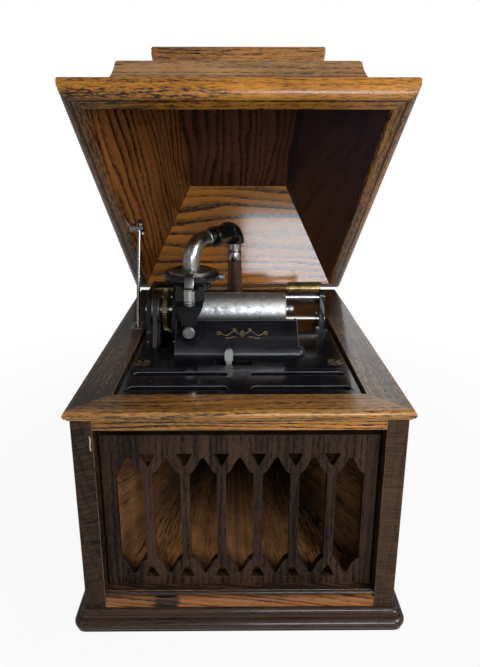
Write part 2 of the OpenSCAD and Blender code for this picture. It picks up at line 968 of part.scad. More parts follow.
module belt() {
    ra = drive_pulley_d / 2 + face_gap;
    rb = mandrel_pulley_d / 2 + face_gap;
    color(leather)
        along_x(pulley_x - belt_w / 2, pulley_x + belt_w / 2)
            difference() {
                belt_outline(pulley_at, ra + belt_t, mandrel_at, rb + belt_t);
                belt_outline(pulley_at, ra, mandrel_at, rb);
            }
}

module motor_outline() {
    front = governor_at[0] - plate_front;
    back = barrel_at[0] + plate_back;
    sole = barrel_at[1] - plate_under;
    polygon([[front, bed_low], [front, governor_at[1] - plate_brow],
        [pulley_at[0] - plate_in, pulley_at[1] - plate_chin],
        [second_at[0] - plate_in, second_at[1] - plate_under], [barrel_at[0] - plate_sole, sole],
        [barrel_at[0] + plate_sole, sole], [back, barrel_at[1] - plate_sole], [back, bed_low]]);
}

module motor_bores(x, run) {
    for (axis = [second_at, pulley_at, governor_at])
        rod_x(x - past, x + motor_plate_t + past, axis, arbor_d / 2 + run);
    rod_x(x - past, x + motor_plate_t + past, barrel_at, barrel_arbor_r + run);
}

module motor_plate_left() {
    color(iron)
        difference() {
            along_x(motor_left, motor_left + motor_plate_t)
                motor_outline();
            motor_bores(motor_left, run_gap);
        }
}

module motor_plate_right() {
    color(iron)
        difference() {
            along_x(motor_right, motor_right + motor_plate_t)
                motor_outline();
            motor_bores(motor_right, run_gap);
            rod_x(motor_right - past, motor_right + motor_plate_t + past, winding_at, winding_shaft_r + run_gap);
        }
}

module motor_pillars() {
    color(iron)
        for (at = pillar_at)
            rod_x(motor_left + motor_plate_t, motor_right, at, pillar_r);
}

// One knuckle of a hinge with its tab to the leaf
module knuckle(x0, x1, low, high, front) {
    rod_x(x0, x1, hinge_at, knuckle_r);
    block([x0, front, low], [x1, hinge_y, high]);
}

module hinge_side(side, fixed) {
    third = leaf_w / 3;
    x = side * hinge_x - leaf_w / 2;
    low = fixed ? cabinet_h - leaf_t : lid_z;
    high = low + leaf_t;
    leaf_back = hinge_y - knuckle_r - face_gap;
    difference() {
        union() {
            block([x, hinge_y - leaf_in, low], [x + leaf_w, leaf_back, high]);
            if (fixed)
                for (k = [0, 2])
                    knuckle(x + k * third, x + (k + 1) * third, low, high, leaf_back - past);
            else
                knuckle(x + third + face_gap, x + 2 * third - face_gap, low, high, leaf_back - past);
        }
        rod_x(x - past, x + leaf_w + past, hinge_at, hinge_pin_r + (fixed ? seat_gap : run_gap));
    }
}

module hinge_leaves() {
    color(brass)
        for (side = [-1, 1])
            hinge_side(side, true);
}

module hinge_pins() {
    color(brass)
        for (side = [-1, 1])
            rod_x(side * hinge_x - leaf_w / 2, side * hinge_x + leaf_w / 2, hinge_at, hinge_pin_r);
}

module stay_guide() {
    color(nickel)
        difference() {
            stay_slot(cabinet_h, cabinet_h + guide_t, guide_edge);
            stay_slot(cabinet_h - past, cabinet_h + past, 0);
        }
}

module crank_escutcheon() {
    color(brass)
        difference() {
            rod_x(side_out, side_out + escutcheon_t, winding_at, escutcheon_r);
            rod_x(side_out - past, side_out + escutcheon_t + past, winding_at, winding_shaft_r + run_gap);
        }
}

// Lid

function rim_side(half) = concat(
    [for (i = [0 : 5]) [half - rim_flare * (1 - sin(18 * i)), lid_z + rim_rise * (1 - cos(18 * i))]],
    [[half, lid_z + lid_rim_h - rim_roll], [half - rim_roll / 3, lid_z + lid_rim_h - rim_roll / 3],
        [half - rim_roll, lid_z + lid_rim_h]]);

// A cove from the rim up to the tier's shoulder, then a sloped ledge to the cap
function tier_side(half, cap_half) = concat(
    [for (i = [0 : 6])
        [half - cove_in + cove_sweep * pow(1 - i / 6, 2), lid_z + lid_rim_h + (cove_h - lid_rim_h) * i / 6]],
    [[half - cove_in - ledge_roll[0], lid_z + cove_h + ledge_roll[1]],
        [half - cove_in - ledge_edge[0], lid_z + cove_h + ledge_edge[1]], [cap_half + past, lid_z + tier_h]]);

// The cap: a small foot bead, a hollow waist and a rolled top edge
function cap_side(half) = concat(
    [[half + past, lid_z + tier_h], [half + past, lid_z + tier_h + cap_bead]],
    [for (i = [0 : 6])
        [half - cap_bead * sin(30 * i),
            lid_z + tier_h + cap_waist + (lid_h - tier_h - cap_waist - cap_edge * 2) * i / 6]],
    [for (i = [0 : 4])
        [half - cap_roll + cap_roll * cos(-90 + 45 * i), lid_z + lid_h - cap_edge + cap_edge * sin(-90 + 45 * i)]]);

function lining_side(half, top_half, out, low) = [
    [half + out - (half - top_half) * low / lid_inside_h, lid_z + low],
    [top_half + out, lid_z + lid_inside_h], [top_half + out, lid_z + lid_inside_h + (out > 0 ? lining_t : 0)]];

module lining_space(out, low) {
    mitred(lid_half_w, lid_half_d) {
        polygon(mirrored(lining_side(lining_w, ceiling_w / 2, out, low)));
        polygon(mirrored(lining_side(lining_d, ceiling_d / 2, out, low)));
    }
}

module lid_rim() {
    color(oak)
        lid_pose()
            difference() {
                mitred(lid_half_w + past, lid_half_d + past) {
                    polygon(mirrored(rim_side(lid_half_w)));
                    polygon(mirrored(rim_side(lid_half_d)));
                }
                lining_space(lining_out, lip_h);
                lining_space(0, -past);
                for (side = [-1, 1])
                    hinge_room(side);
            }
}

// Room in the lid's rim for a hinge leaf and its knuckles
module hinge_room(side) {
    x0 = side * hinge_x - leaf_w / 2;
    block([x0, hinge_y - leaf_in, lid_z - past], [x0 + leaf_w, hinge_y, lid_z + leaf_t]);
    rod_x(x0 - face_gap, x0 + leaf_w + face_gap, hinge_at, knuckle_r + face_gap);
}

module lid_tier() {
    color(oak)
        lid_pose()
            difference() {
                mitred(lid_half_w, lid_half_d) {
                    polygon(mirrored(tier_side(lid_half_w, cap_w / 2)));
                    polygon(mirrored(tier_side(lid_half_d, cap_d / 2)));
                }
                lining_space(lining_out, lip_h);
            }
}

module lid_cap() {
    color(oak)
        lid_pose()
            difference() {
                mitred(lid_half_w, lid_half_d) {
                    polygon(mirrored(cap_side(cap_w / 2)));
                    polygon(mirrored(cap_side(cap_d / 2)));
                }
                lining_space(lining_out, lip_h);
            }
}

// One sloped lining board, from its lower edge to the ceiling
function board_outline(half, top_half) = [
    [half - (half - top_half) * lip_h / lid_inside_h, lid_z + lip_h],
    [half + lining_out - (half - top_half) * lip_h / lid_inside_h, lid_z + lip_h],
    [top_half + lining_out, lid_z + lid_inside_h], [top_half, lid_z + lid_inside_h]];

module lid_side_panels() {
    color(oak)
        lid_pose()
            intersection() {
                along_y(-lid_half_d, lid_half_d)
                    for (side = [0, 1])
                        mirror([side, 0])
                            polygon(board_outline(lining_w, ceiling_w / 2));
                along_x(-lid_half_w, lid_half_w)
                    polygon(mirrored(lining_side(lining_d, ceiling_d / 2, 0, 0)));
            }
}

module lid_end_panels() {
    color(oak)
        lid_pose()
            intersection() {
                along_x(-lid_half_w, lid_half_w)
                    for (side = [0, 1])
                        mirror([side, 0])
                            polygon(board_outline(lining_d, ceiling_d / 2));
                along_y(-lid_half_d, lid_half_d)
                    polygon(mirrored(lining_side(lining_w, ceiling_w / 2, lining_out, 0)));
            }
}

module lid_ceiling() {
    half_x = ceiling_w / 2 + lining_out;
    half_y = ceiling_d / 2 + lining_out;
    color(oak)
        lid_pose()
            block([-half_x, -half_y, lid_z + lid_inside_h], [half_x, half_y, lid_z + lid_inside_h + lining_t]);
}

module lid_hinge_leaves() {
    color(brass)
        lid_pose()
            for (side = [-1, 1])
                hinge_side(side, false);
}

module stay_bracket() {
    wall_x = -(lining_w - (lining_w - ceiling_w / 2) * stay_b / lid_inside_h);
    pin_at = [pivot_y, lid_z + stay_b];
    color(nickel)
        lid_pose()
            difference() {
                union() {
                    rod_x(wall_x - past, stay_x + boss_head - past, pin_at, stay_pin_r);
                    rod_x(wall_x - past, stay_x - stay_d / 2 - face_gap, pin_at, boss_r);
                    rod_x(stay_x + stay_d / 2 + face_gap, stay_x + boss_head, pin_at, boss_head_r);
                }
                along_y(pivot_y - boss_span, pivot_y + boss_span)
                    polygon([[-lid_half_w, lid_z - boss_span], for (p = lining_slope()) p,
                        [-lid_half_w, lid_z + boss_cut]]);
            }
}

function lining_slope() = [
    [-lining_w - (lining_w - ceiling_w / 2) * boss_span / lid_inside_h, lid_z - boss_span],
    [-lining_w + (lining_w - ceiling_w / 2) * boss_cut / lid_inside_h, lid_z + boss_cut]];

module stay_rod() {
    color(nickel)
        lid_pose()
            translate([stay_x, pivot_y, lid_z + stay_b])
                rotate([lid_angle - (lid_angle / 2 + stay_tilt), 0, 0])
                    difference() {
                        union() {
                            translate([-stay_eye_w / 2, 0, 0])
                                rotate([0, 90, 0])
                                    cylinder(h = stay_eye_w, r = stay_eye_r);
                            translate([0, 0, -stay_len])
                                cylinder(h = stay_len - stay_eye_r + past, r = stay_d / 2);
                            translate([0, 0, -stay_len])
                                sphere(r = stay_stop_r);
                        }
                        translate([-stay_eye_w, 0, 0])
                            rotate([0, 90, 0])
                                cylinder(h = 2 * stay_eye_w, r = stay_pin_r + run_gap);
                    }
}

// Mandrel, feed and carriage

module mandrel() {
    end = mandrel_half;
    color(nickel)
        translate([0, 0, axis_z])
            rotate([0, 90, 0])
                rotate_extrude()
                    polygon([[0, left_out - shaft_end], [shaft_d / 2, left_out - shaft_end], [shaft_d / 2, -end],
                        [mandrel_d1 / 2, -end], [mandrel_d2 / 2, end - mandrel_edge],
                        [mandrel_d2 / 2 - mandrel_edge, end], [end_boss_r, end], [end_boss_r, end + end_boss_l],
                        [end_boss_r / 2, end + end_boss_l], [end_boss_r / 2, end + 2 * end_boss_l],
                        [end_nut_r, end + 3 * end_boss_l], [end_nut_r, end + end_nut_l - mandrel_edge * 2],
                        [end_nut_r / 2, end + end_nut_l - past / 2], [0, end + end_nut_l]]);
}

module mandrel_gear() {
    turn = atan2(feed_at[1] - mandrel_at[1], feed_at[0] - mandrel_at[0]);
    color(brass)
        gear(gear_x, mandrel_gear_teeth, feed_module, mandrel_at, turn, shaft_d / 2 + seat_gap);
}

module pulley(x, at, groove_r, bore) {
    difference() {
        union() {
            rod_x(x - pulley_t / 2, x + pulley_t / 2, at, groove_r);
            for (end = [x - pulley_t / 2 - flange_t, x + pulley_t / 2])
                rod_x(end, end + flange_t, at, groove_r + flange);
        }
        if (bore > 0)
            rod_x(x - pulley_t, x + pulley_t, at, bore);
    }
}

module mandrel_pulley() {
    color(iron)
        pulley(pulley_x, mandrel_at, mandrel_pulley_d / 2, shaft_d / 2 + seat_gap);
}

module feed_screw() {
    color(nickel)
        rod_x(left_out - feed_end, right_out + feed_end, feed_at, rod_d / 2);
}

module feed_gear() {
    turn = atan2(feed_at[1] - mandrel_at[1], feed_at[0] - mandrel_at[0]);
    color(brass)
        gear(gear_x, feed_gear_teeth, feed_module, feed_at, gap_turn(turn, feed_gear_teeth),
            rod_d / 2 + seat_gap);
}

// The carriage's front arm: a side outline cut to a front view that is wide above and narrow at the knob
module carriage_arm() {
    intersection() {
        along_x(-arm_wide, arm_wide)
            children();
        along_y(knob_y - past, carriage_y)
            polygon(mirrored([[arm_narrow, knob_z - pad_r], [arm_narrow, knob_z + arm_neck[0]],
                [arm_narrow + arm_step[0], knob_z + arm_neck[1]], [arm_wide - arm_step[1], knob_z + arm_neck[2]],
                [arm_wide, knob_z + arm_neck[3]], [arm_wide, plate_high]]));
    }
}

module carriage() {
    color(enamel)
        difference() {
            translate([carriage_x, 0, 0])
                union() {
                    translate([0, carriage_y, plate_low])
                        cylinder(h = plate_t, r = ring_r);
                    block([-tail_w, carriage_y, plate_low], [tail_w, guide_back + tail_back, plate_high]);
                    block([-tail_w, guide_back - tail_back, guide_z], [tail_w, guide_back + tail_back, plate_high]);
                    rod_x(-carriage_half, carriage_half, guide_at, rod_d / 2 + sleeve_wall);
                    block([-half_nut_w, feed_back - half_nut_d, feed_z + rod_d / 2 + face_gap],
                        [half_nut_w, feed_back + half_nut_d, guide_z]);
                    block([-bridge_w, post_y + post_r, plate_low], [bridge_w, carriage_y, plate_high]);
                    carriage_arm()
                        polygon([[post_y + post_r, plate_high], [arm_back, plate_low], [arm_back - past, post_low],
                            [arm_knee[0], knob_z + arm_knee[1]], [knob_y + pad_t, knob_z - pad_r],
                            [knob_y, knob_z - pad_r], [knob_y, knob_z + pad_r],
                            [post_y - post_r, post_low - arm_lip], [post_y - post_r, post_low],
                            [post_y + post_r, post_low]]);
                }
            translate([carriage_x, carriage_y, plate_low - past])
                cylinder(h = plate_t + 2 * past, r = ring_bore);
            rod_x(carriage_x - carriage_half - past, carriage_x + carriage_half + past, guide_at,
                rod_d / 2 + run_gap);
            translate([carriage_x, knob_y + pad_t - past, knob_z])
                rotate([90, 0, 0])
                    cylinder(h = 2 * pad_t, r = knob_pin_r + run_gap);
        }
}

module reproducer_body() {
    r = reproducer_d / 2;
    color(enamel)
        translate([carriage_x, carriage_y, 0])
            rotate_extrude()
                polygon([[0, plate_high], [ring_r - past, plate_high], [r - past, plate_high + disc_bevel],
                    [r, plate_high + disc_edge[0]], [r, plate_high + disc_edge[1]], [r - disc_roll, disc_high],
                    [0, disc_high]]);
}

module reproducer_face() {
    r = reproducer_d / 2 - face_in;
    dish = face_high - past;
    color(nickel)
        translate([carriage_x, carriage_y, 0])
            rotate_extrude()
                polygon([[0, disc_high], [r, disc_high], [r, disc_high + past], [r - past, face_high],
                    [r - face_rim, face_high], [r - face_rim - disc_roll, dish], [face_dish_r, dish],
                    [face_dish_r - past, face_high], [0, face_high]]);
}

module reproducer_weight() {
    r = ring_bore - past;
    color(iron)
        translate([carriage_x, carriage_y, 0])
            rotate_extrude()
                polygon([[0, plate_low - stylus_l], [stylus_r, plate_low - stylus_l],
                    [stylus_r + past, plate_low - stylus_r], [r - 3 * past, plate_low - stylus_r],
                    [r, plate_low + past], [r, plate_high], [0, plate_high]]);
}

module barrel_post() {
    post_h = plate_high + post_proud - post_low;
    waist = post_r - post_groove;
    color(nickel)
        translate([carriage_x, post_y, post_low])
            rotate_extrude()
                polygon([[0, 0], [waist, 0], [waist, post_proud], [post_r, post_proud + past],
                    [post_r, post_h - 2 * past], [waist, post_h], [0, post_h]]);
}

module lift_knob() {
    color(nickel)
        translate([carriage_x, knob_y, knob_z])
            rotate([90, 0, 0])
                rotate_extrude()
                    polygon([[0, -knob_t], [knob_pin_r, -knob_t], [knob_pin_r, face_gap], [knob_r, face_gap],
                        [knob_r, knob_t - past], [knob_r - past, knob_t], [0, knob_t]]);
}

module neck_pose() {
    translate([carriage_x, carriage_y, face_high])
        rotate([0, 0, tone_turn])
            children();
}

module neck() {
    up = tone_z - neck_bend - face_high;
    color(nickel)
        neck_pose()
            difference() {
                union() {
                    translate([0, 0, swivel_gap])
                        cylinder(h = neck_foot_h, r = neck_d / 2 + neck_foot_out);
                    translate([0, 0, swivel_gap])
                        elbow(neck_d / 2, neck_bend, up - swivel_gap, neck_straight);
                    translate([0, neck_straight - past, up + neck_bend])
                        rotate([-90, 0, 0])
                            cylinder(h = neck_reach - neck_straight + past, r = spigot_r);
                }
                translate([0, 0, -past])
                    elbow(neck_bore, neck_bend, up + past, neck_reach + past);
            }
}

module arm_pose() {
    translate([tone_x, tone_y, collar_low + collar_h])
        rotate([0, 0, 180 + tone_turn])
            children();
}

module tone_elbow() {
    color(enamel)
        arm_pose()
            difference() {
                union() {
                    elbow(arm_r, arm_bend, 0, arm_bend + sleeve_lap);
                    translate([0, arm_bend, arm_bend])
                        rotate([-90, 0, 0])
                            cylinder(h = sleeve_reach - arm_bend, r = sleeve_r);
                }
                translate([0, arm_bend + sleeve_lap / 2, arm_bend])
                    rotate([-90, 0, 0])
                        cylinder(h = sleeve_reach, r = sleeve_bore);
            }
}

module tone_collar() {
    color(nickel)
        translate([tone_x, tone_y, collar_low])
            difference() {
                rotate_extrude()
                    polygon([[0, swivel_gap], [collar_r, swivel_gap], [collar_r + collar_bead, 2 * collar_bead],
                        [collar_r, 4 * collar_bead], [collar_r, collar_h], [0, collar_h]]);
                translate([0, 0, -past])
                    cylinder(h = swivel_h + past + swivel_gap, r = swivel_r + run_gap);
            }
}

module start_lever() {
    low = bed_low - face_gap - lever_t;
    color(nickel)
        translate([lever_x, lever_y, 0])
            rotate([0, 0, lever_rest])
                difference() {
                    union() {
                        translate([0, 0, low])
                            cylinder(h = lever_t, r = stud_r + lever_eye);
                        block([-lever_t, -lever_reach, low], [lever_t, 0, low + lever_t]);
                        block([-lever_t, -lever_reach - lever_t / 2, low],
                            [lever_t, -lever_reach + lever_t / 2, bed_z + paddle_low + paddle_r]);
                        translate([0, -lever_reach + lever_t / 2, bed_z + paddle_top])
                            rotate([90, 0, 0])
                                cylinder(h = lever_t, r = paddle_r);
                        block([-paddle_r, -lever_reach - lever_t / 2, bed_z + paddle_low],
                            [paddle_r, -lever_reach + lever_t / 2, bed_z + paddle_top]);
                    }
                    translate([0, 0, bed_low - stud_h])
                        cylinder(h = stud_h + past, r = stud_r + run_gap);
                }
}

// Motor

module spring_barrel() {
    color(iron)
        difference() {
            union() {
                rod_x(barrel_x, barrel_x + barrel_l, barrel_at, barrel_d / 2);
                rod_x(great_x, barrel_x + past, barrel_at, barrel_hub_r);
                gear(great_x, great_teeth, gear_module, barrel_at, second_turn, 0);
            }
            rod_x(great_x - past, barrel_x + barrel_l + past, barrel_at, barrel_arbor_r + run_gap);
        }
}

module second_arbor() {
    color(brass)
        union() {
            rod_x(motor_left, motor_right + motor_plate_t, second_at, arbor_d / 2);
            gear(great_x, second_pinion_teeth, gear_module, second_at,
                gap_turn(second_turn, second_pinion_teeth), 0);
            gear(second_wheel_x, second_wheel_teeth, gear_module, second_at, pulley_turn, 0);
        }
}

module pulley_arbor() {
    color(brass)
        union() {
            rod_x(pulley_x - pulley_t, motor_right + motor_plate_t, pulley_at, arbor_d / 2);
            gear(second_wheel_x, pulley_pinion_teeth, gear_module, pulley_at,
                gap_turn(pulley_turn, pulley_pinion_teeth), 0);
            gear(governor_x, governor_wheel_teeth, gear_module, pulley_at, governor_turn, 0);
            pulley(pulley_x, pulley_at, drive_pulley_d / 2, 0);
        }
}

module governor() {
    color(brass)
        union() {
            rod_x(motor_left, motor_right + motor_plate_t, governor_at, arbor_d / 2);
            gear(governor_x, governor_pinion_teeth, gear_module, governor_at,
                gap_turn(governor_turn, governor_pinion_teeth), 0);
            rod_x(governor_disc_x, governor_disc_x + governor_disc_t, governor_at, governor_disc_r);
            rod_x(governor_hub_x, governor_hub_x + governor_hub_t, governor_at, governor_hub_r);
            for (turn = [0, 120, 240])
                rod_x(governor_hub_x, governor_disc_x + past, step(governor_at, spring_orbit, turn), spring_r);
            for (turn = [0, 120, 240])
                rod_x(weight_x, weight_x + weight_l, step(governor_at, weight_orbit, turn), weight_r);
        }
}

module winding_shaft() {
    color(iron)
        difference() {
            union() {
                rod_x(winding_x, side_out + winding_proud, winding_at, winding_shaft_r);
                gear(winding_x, winding_pinion_teeth, gear_module, winding_at,
                    gap_turn(winding_turn, winding_pinion_teeth), 0);
            }
            rod_x(side_out + winding_proud - socket_depth, side_out + winding_proud + past, winding_at, socket_d / 2);
        }
}

module winding_gear() {
    color(iron)
        union() {
            rod_x(motor_left, motor_right + motor_plate_t, barrel_at, barrel_arbor_r);
            gear(winding_x, winding_gear_teeth, gear_module, barrel_at, winding_turn, 0);
        }
}

base_moulding();
bottom_board();
corner_posts();
side_panel_left();
side_panel_right();
back_panel();
top_rail();
bottom_rail();
rim_frame();
grille_panel();
horn_board();
horn_sides();
horn_decks();
horn_elbow();
bed_cleats();
bedplate();
vent_plate();
body_casting();
left_standard();
right_standard();
guide_rod();
tone_post();
belt();
motor_plate_left();
motor_plate_right();
motor_pillars();
hinge_leaves();
hinge_pins();
stay_guide();
crank_escutcheon();
lid_rim();
lid_tier();
lid_cap();
lid_side_panels();
lid_end_panels();
lid_ceiling();
lid_hinge_leaves();
stay_bracket();
stay_rod();
mandrel();
mandrel_gear();
mandrel_pulley();
feed_screw();
feed_gear();
carriage();
reproducer_body();
reproducer_face();
reproducer_weight();
barrel_post();
lift_knob();
neck();
tone_elbow();
tone_collar();
start_lever();
spring_barrel();
second_arbor();
pulley_arbor();
governor();
winding_shaft();
winding_gear();
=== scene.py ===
import math

import bmesh
import bpy
from mathutils import Matrix, Vector


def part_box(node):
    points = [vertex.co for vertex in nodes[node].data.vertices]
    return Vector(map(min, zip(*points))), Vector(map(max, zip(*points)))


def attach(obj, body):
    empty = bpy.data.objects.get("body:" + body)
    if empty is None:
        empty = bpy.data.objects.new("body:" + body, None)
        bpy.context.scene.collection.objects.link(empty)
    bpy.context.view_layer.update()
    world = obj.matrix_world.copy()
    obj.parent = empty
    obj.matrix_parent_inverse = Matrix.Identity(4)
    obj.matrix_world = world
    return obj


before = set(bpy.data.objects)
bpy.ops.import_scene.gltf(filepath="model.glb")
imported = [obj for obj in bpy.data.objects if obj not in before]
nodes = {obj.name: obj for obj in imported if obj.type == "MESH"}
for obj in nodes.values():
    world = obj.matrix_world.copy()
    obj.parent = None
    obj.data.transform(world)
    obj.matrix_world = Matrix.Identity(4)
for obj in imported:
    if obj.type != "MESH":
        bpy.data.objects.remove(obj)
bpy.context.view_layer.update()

# Places of the solids that pieces are fitted to: the hinge in metres, the others in millimetres
LID_ANGLE = math.radians(39.2)
HINGE = Vector((0.0, 0.2155, 0.2403))
BED_TOP, BED_HALF, BED_FRONT, BED_BACK = 235.0, 121.5, -103.5, 175.5
RIM_TOP = 240.0
HINGE_SCREW_X, HINGE_SCREW_Y = (88.0, 108.0, 128.0), 203.0
LID_LOW = 240.6
LINING_HALF, CEILING_HALF, LID_INSIDE = 147.5, 76.0, 136.0
CASTING_LEFT, CASTING_RIGHT, CASTING_LEDGE = -75.0, 70.0, -57.0
REPRODUCER_X = -58.0
ARM_START, ARM_ALONG = (REPRODUCER_X, 2.0, 354.0), (0.4575, 0.8892, 0.0)
TONE_POST_AXIS = (-5.0, 105.0, 0.0)
BARREL_POST_AXIS = (REPRODUCER_X, -41.0, 0.0)
FEED_SCREW_Y, FEED_SCREW_Z = 36.0, 247.0

# How many times a figure repeats in a metre, along the grain and across it
DRIFT_SCALE = (3.0, 11.0, 11.0)
TONE_SCALE = (5.0, 34.0, 34.0)
PORE_SCALE = (105.0, 600.0, 600.0)
FINE_PORE_SCALE = (190.0, 1250.0, 1250.0)
RAY_SCALE = (850.0, 42.0, 42.0)

# Where a board's darker ends begin and are full along X, in metres, and how dark a deep or high part gets;
# the darker left ends are painted shade, away from the light on the right
LEFT_END, RIGHT_END, RIGHT_BOARD = (0.0, -0.15), (0.02, 0.09), (0.02, 0.08)
# A deep part, the quirk line and a right-hand board's darker colour are painted shade; the patch is a darker
# stained patch
DEEP_OR_HIGH_DARKENING, PATCH_STAIN, QUIRK_SHADE, RIGHT_SHADE = 0.75, 0.7, 0.6, 0.88


# Shader building

def add(tree, kind, **settings):
    node = tree.nodes.new(kind)
    for key, value in settings.items():
        setattr(node, key, value)
    return node


def wire(tree, source, target):
    if isinstance(source, bpy.types.NodeSocket):
        tree.links.new(source, target)
    else:
        target.default_value = source


def maths(tree, operation, a, b=0.0, clamp=False):
    node = add(tree, "ShaderNodeMath", operation=operation, use_clamp=clamp)
    wire(tree, a, node.inputs[0])
    wire(tree, b, node.inputs[1])
    return node.outputs[0]


def plus(tree, a, b, clamp=False):
    return maths(tree, "ADD", a, b, clamp)


def minus(tree, a, b):
    return maths(tree, "SUBTRACT", a, b)


def by(tree, a, b, clamp=False):
    return maths(tree, "MULTIPLY", a, b, clamp)


def spread(tree, value, low, high, to_low=0.0, to_high=1.0):
    node = add(tree, "ShaderNodeMapRange", clamp=True)
    wire(tree, value, node.inputs["Value"])
    for key, number in (("From Min", low), ("From Max", high), ("To Min", to_low), ("To Max", to_high)):
        wire(tree, number, node.inputs[key])
    return node.outputs["Result"]


def blend(tree, share, first, second):
    node = add(tree, "ShaderNodeMix", data_type="RGBA")
    wire(tree, share, node.inputs[0])
    wire(tree, first, node.inputs[6])
    wire(tree, second, node.inputs[7])
    return node.outputs[2]


def blend_vector(tree, share, first, second):
    node = add(tree, "ShaderNodeMix", data_type="VECTOR")
    wire(tree, share, node.inputs[0])
    wire(tree, first, node.inputs[4])
    wire(tree, second, node.inputs[5])
    return node.outputs[1]


def split(tree, vector):
    node = add(tree, "ShaderNodeSeparateXYZ")
    wire(tree, vector, node.inputs[0])
    return node.outputs


def join(tree, x, y, z):
    node = add(tree, "ShaderNodeCombineXYZ")
    for target, value in zip(node.inputs, (x, y, z)):
        wire(tree, value, target)
    return node.outputs[0]


def times(tree, vector, factors):
    node = add(tree, "ShaderNodeVectorMath", operation="MULTIPLY")
    wire(tree, vector, node.inputs[0])
    node.inputs[1].default_value = factors
    return node.outputs[0]


def speckle(tree, vector, scale, detail=2.0, rough=0.5):
    node = add(tree, "ShaderNodeTexNoise")
    wire(tree, vector, node.inputs["Vector"])
    wire(tree, scale, node.inputs["Scale"])
    node.inputs["Detail"].default_value = detail
    node.inputs["Roughness"].default_value = rough
    return node.outputs["Fac"]


def start_group(name, takes, gives):
    tree = bpy.data.node_groups.new(name, "ShaderNodeTree")
    for kind, label, value in takes:
        socket = tree.interface.new_socket(label, in_out="INPUT", socket_type=kind)
        if value is not None:
            socket.default_value = value
    for kind, label in gives:
        tree.interface.new_socket(label, in_out="OUTPUT", socket_type=kind)
    return tree, add(tree, "NodeGroupInput").outputs, add(tree, "NodeGroupOutput").inputs


def place(tree, group, **values):
    node = add(tree, "ShaderNodeGroup", node_tree=group)
    for label, value in values.items():
        wire(tree, value, node.inputs[label.replace("_", " ")])
    return node.outputs


NUMBER, COLOUR, VECTOR = "NodeSocketFloat", "NodeSocketColor", "NodeSocketVector"


def make_oak_figure():
    """Oak with the grain along the first axis: growth lines, pore dashes, broad tone and cross rays."""
    tree, takes, gives = start_group(
        "oak_figure",
        [(VECTOR, "Vector", None), (COLOUR, "Light", None), (COLOUR, "Dark", None),
         (NUMBER, "Spacing", 0.008), (NUMBER, "Warp", 0.03), (NUMBER, "Lines", 0.6), (NUMBER, "Pores", 0.5),
         (NUMBER, "Tone", 0.5), (NUMBER, "Rays", 0.0), (NUMBER, "Stain", 0.0)],
        [(COLOUR, "Color"), (NUMBER, "Height"), (NUMBER, "Dull")])
    grain, cross, depth = split(tree, takes["Vector"])
    across = plus(tree, cross, by(tree, depth, 0.8))
    drift = speckle(tree, times(tree, takes["Vector"], DRIFT_SCALE), 1.0, 2.0, 0.45)
    coarse_field = speckle(tree, times(tree, takes["Vector"], PORE_SCALE), 1.0, 2.0, 0.6)
    fine_field = speckle(tree, times(tree, takes["Vector"], FINE_PORE_SCALE), 1.0, 2.0, 0.6)
    sway = plus(tree, drift, by(tree, coarse_field, 0.05))
    bent = plus(tree, across, by(tree, sway, takes["Warp"]))
    rings_off = maths(tree, "DIVIDE", across, by(tree, takes["Spacing"], 4.0))
    crowding = speckle(tree, join(tree, by(tree, grain, 4.0), rings_off, 0.0), 1.0, 2.0, 0.5)
    count = plus(tree, maths(tree, "DIVIDE", bent, takes["Spacing"]), by(tree, crowding, 3.0))
    ring = maths(tree, "FRACT", count)
    of_ring = join(tree, by(tree, maths(tree, "FLOOR", count), 0.61), by(tree, grain, 2.5), 0.0)
    boldness = spread(tree, speckle(tree, of_ring, 1.0, 1.0), 0.35, 0.62, 0.3, 1.15)
    line = by(tree, spread(tree, ring, 0.0, 0.08), spread(tree, ring, 0.62, 0.1))
    line = by(tree, line, boldness)
    coarse = spread(tree, coarse_field, 0.47, 0.58)
    fine = spread(tree, fine_field, 0.47, 0.6)
    broad = speckle(tree, times(tree, takes["Vector"], TONE_SCALE), 1.0, 3.0)
    ray_field = speckle(tree, times(tree, takes["Vector"], RAY_SCALE), 1.0, 3.0, 0.6)
    rays = spread(tree, ray_field, 0.44, 0.6)
    dash = plus(tree, by(tree, coarse, 0.7), by(tree, fine, 0.45))
    inked = by(tree, line, plus(tree, by(tree, dash, 0.45), 0.6))
    share = by(tree, inked, takes["Lines"])
    near = plus(tree, by(tree, line, 0.5), 0.6)
    share = plus(tree, share, by(tree, by(tree, dash, near), takes["Pores"]))
    tone = minus(tree, spread(tree, broad, 0.3, 0.7), 0.5)
    share = plus(tree, share, by(tree, tone, takes["Tone"]))
    share = plus(tree, share, takes["Stain"])
    share = plus(tree, share, by(tree, rays, takes["Rays"]), clamp=True)
    wire(tree, blend(tree, share, takes["Light"], takes["Dark"]), gives["Color"])
    sunk = plus(tree, dash, by(tree, inked, 0.6))
    wire(tree, minus(tree, 1.0, by(tree, sunk, 0.6)), gives["Height"])
    dull = plus(tree, by(tree, dash, 0.6), by(tree, broad, 0.4))
    wire(tree, dull, gives["Dull"])
    return tree


def make_rail_turn():
    """Turns the grain along each rail of a mitred frame."""
    tree, takes, gives = start_group(
        "rail_turn", [(VECTOR, "Vector", None), (NUMBER, "Half Width", 0.16), (NUMBER, "Half Depth", 0.21)],
        [(VECTOR, "Vector"), (NUMBER, "Side"), (NUMBER, "Past")])
    x, y, z = split(tree, takes["Vector"])
    past_x = minus(tree, maths(tree, "ABSOLUTE", x), takes["Half Width"])
    past_y = minus(tree, maths(tree, "ABSOLUTE", y), takes["Half Depth"])
    on_side = maths(tree, "GREATER_THAN", past_x, past_y)
    shifted = plus(tree, x, 3.0)
    wire(tree, blend_vector(tree, on_side, takes["Vector"], join(tree, y, shifted, z)), gives["Vector"])
    wire(tree, on_side, gives["Side"])
    wire(tree, maths(tree, "MAXIMUM", past_x, past_y), gives["Past"])
    return tree


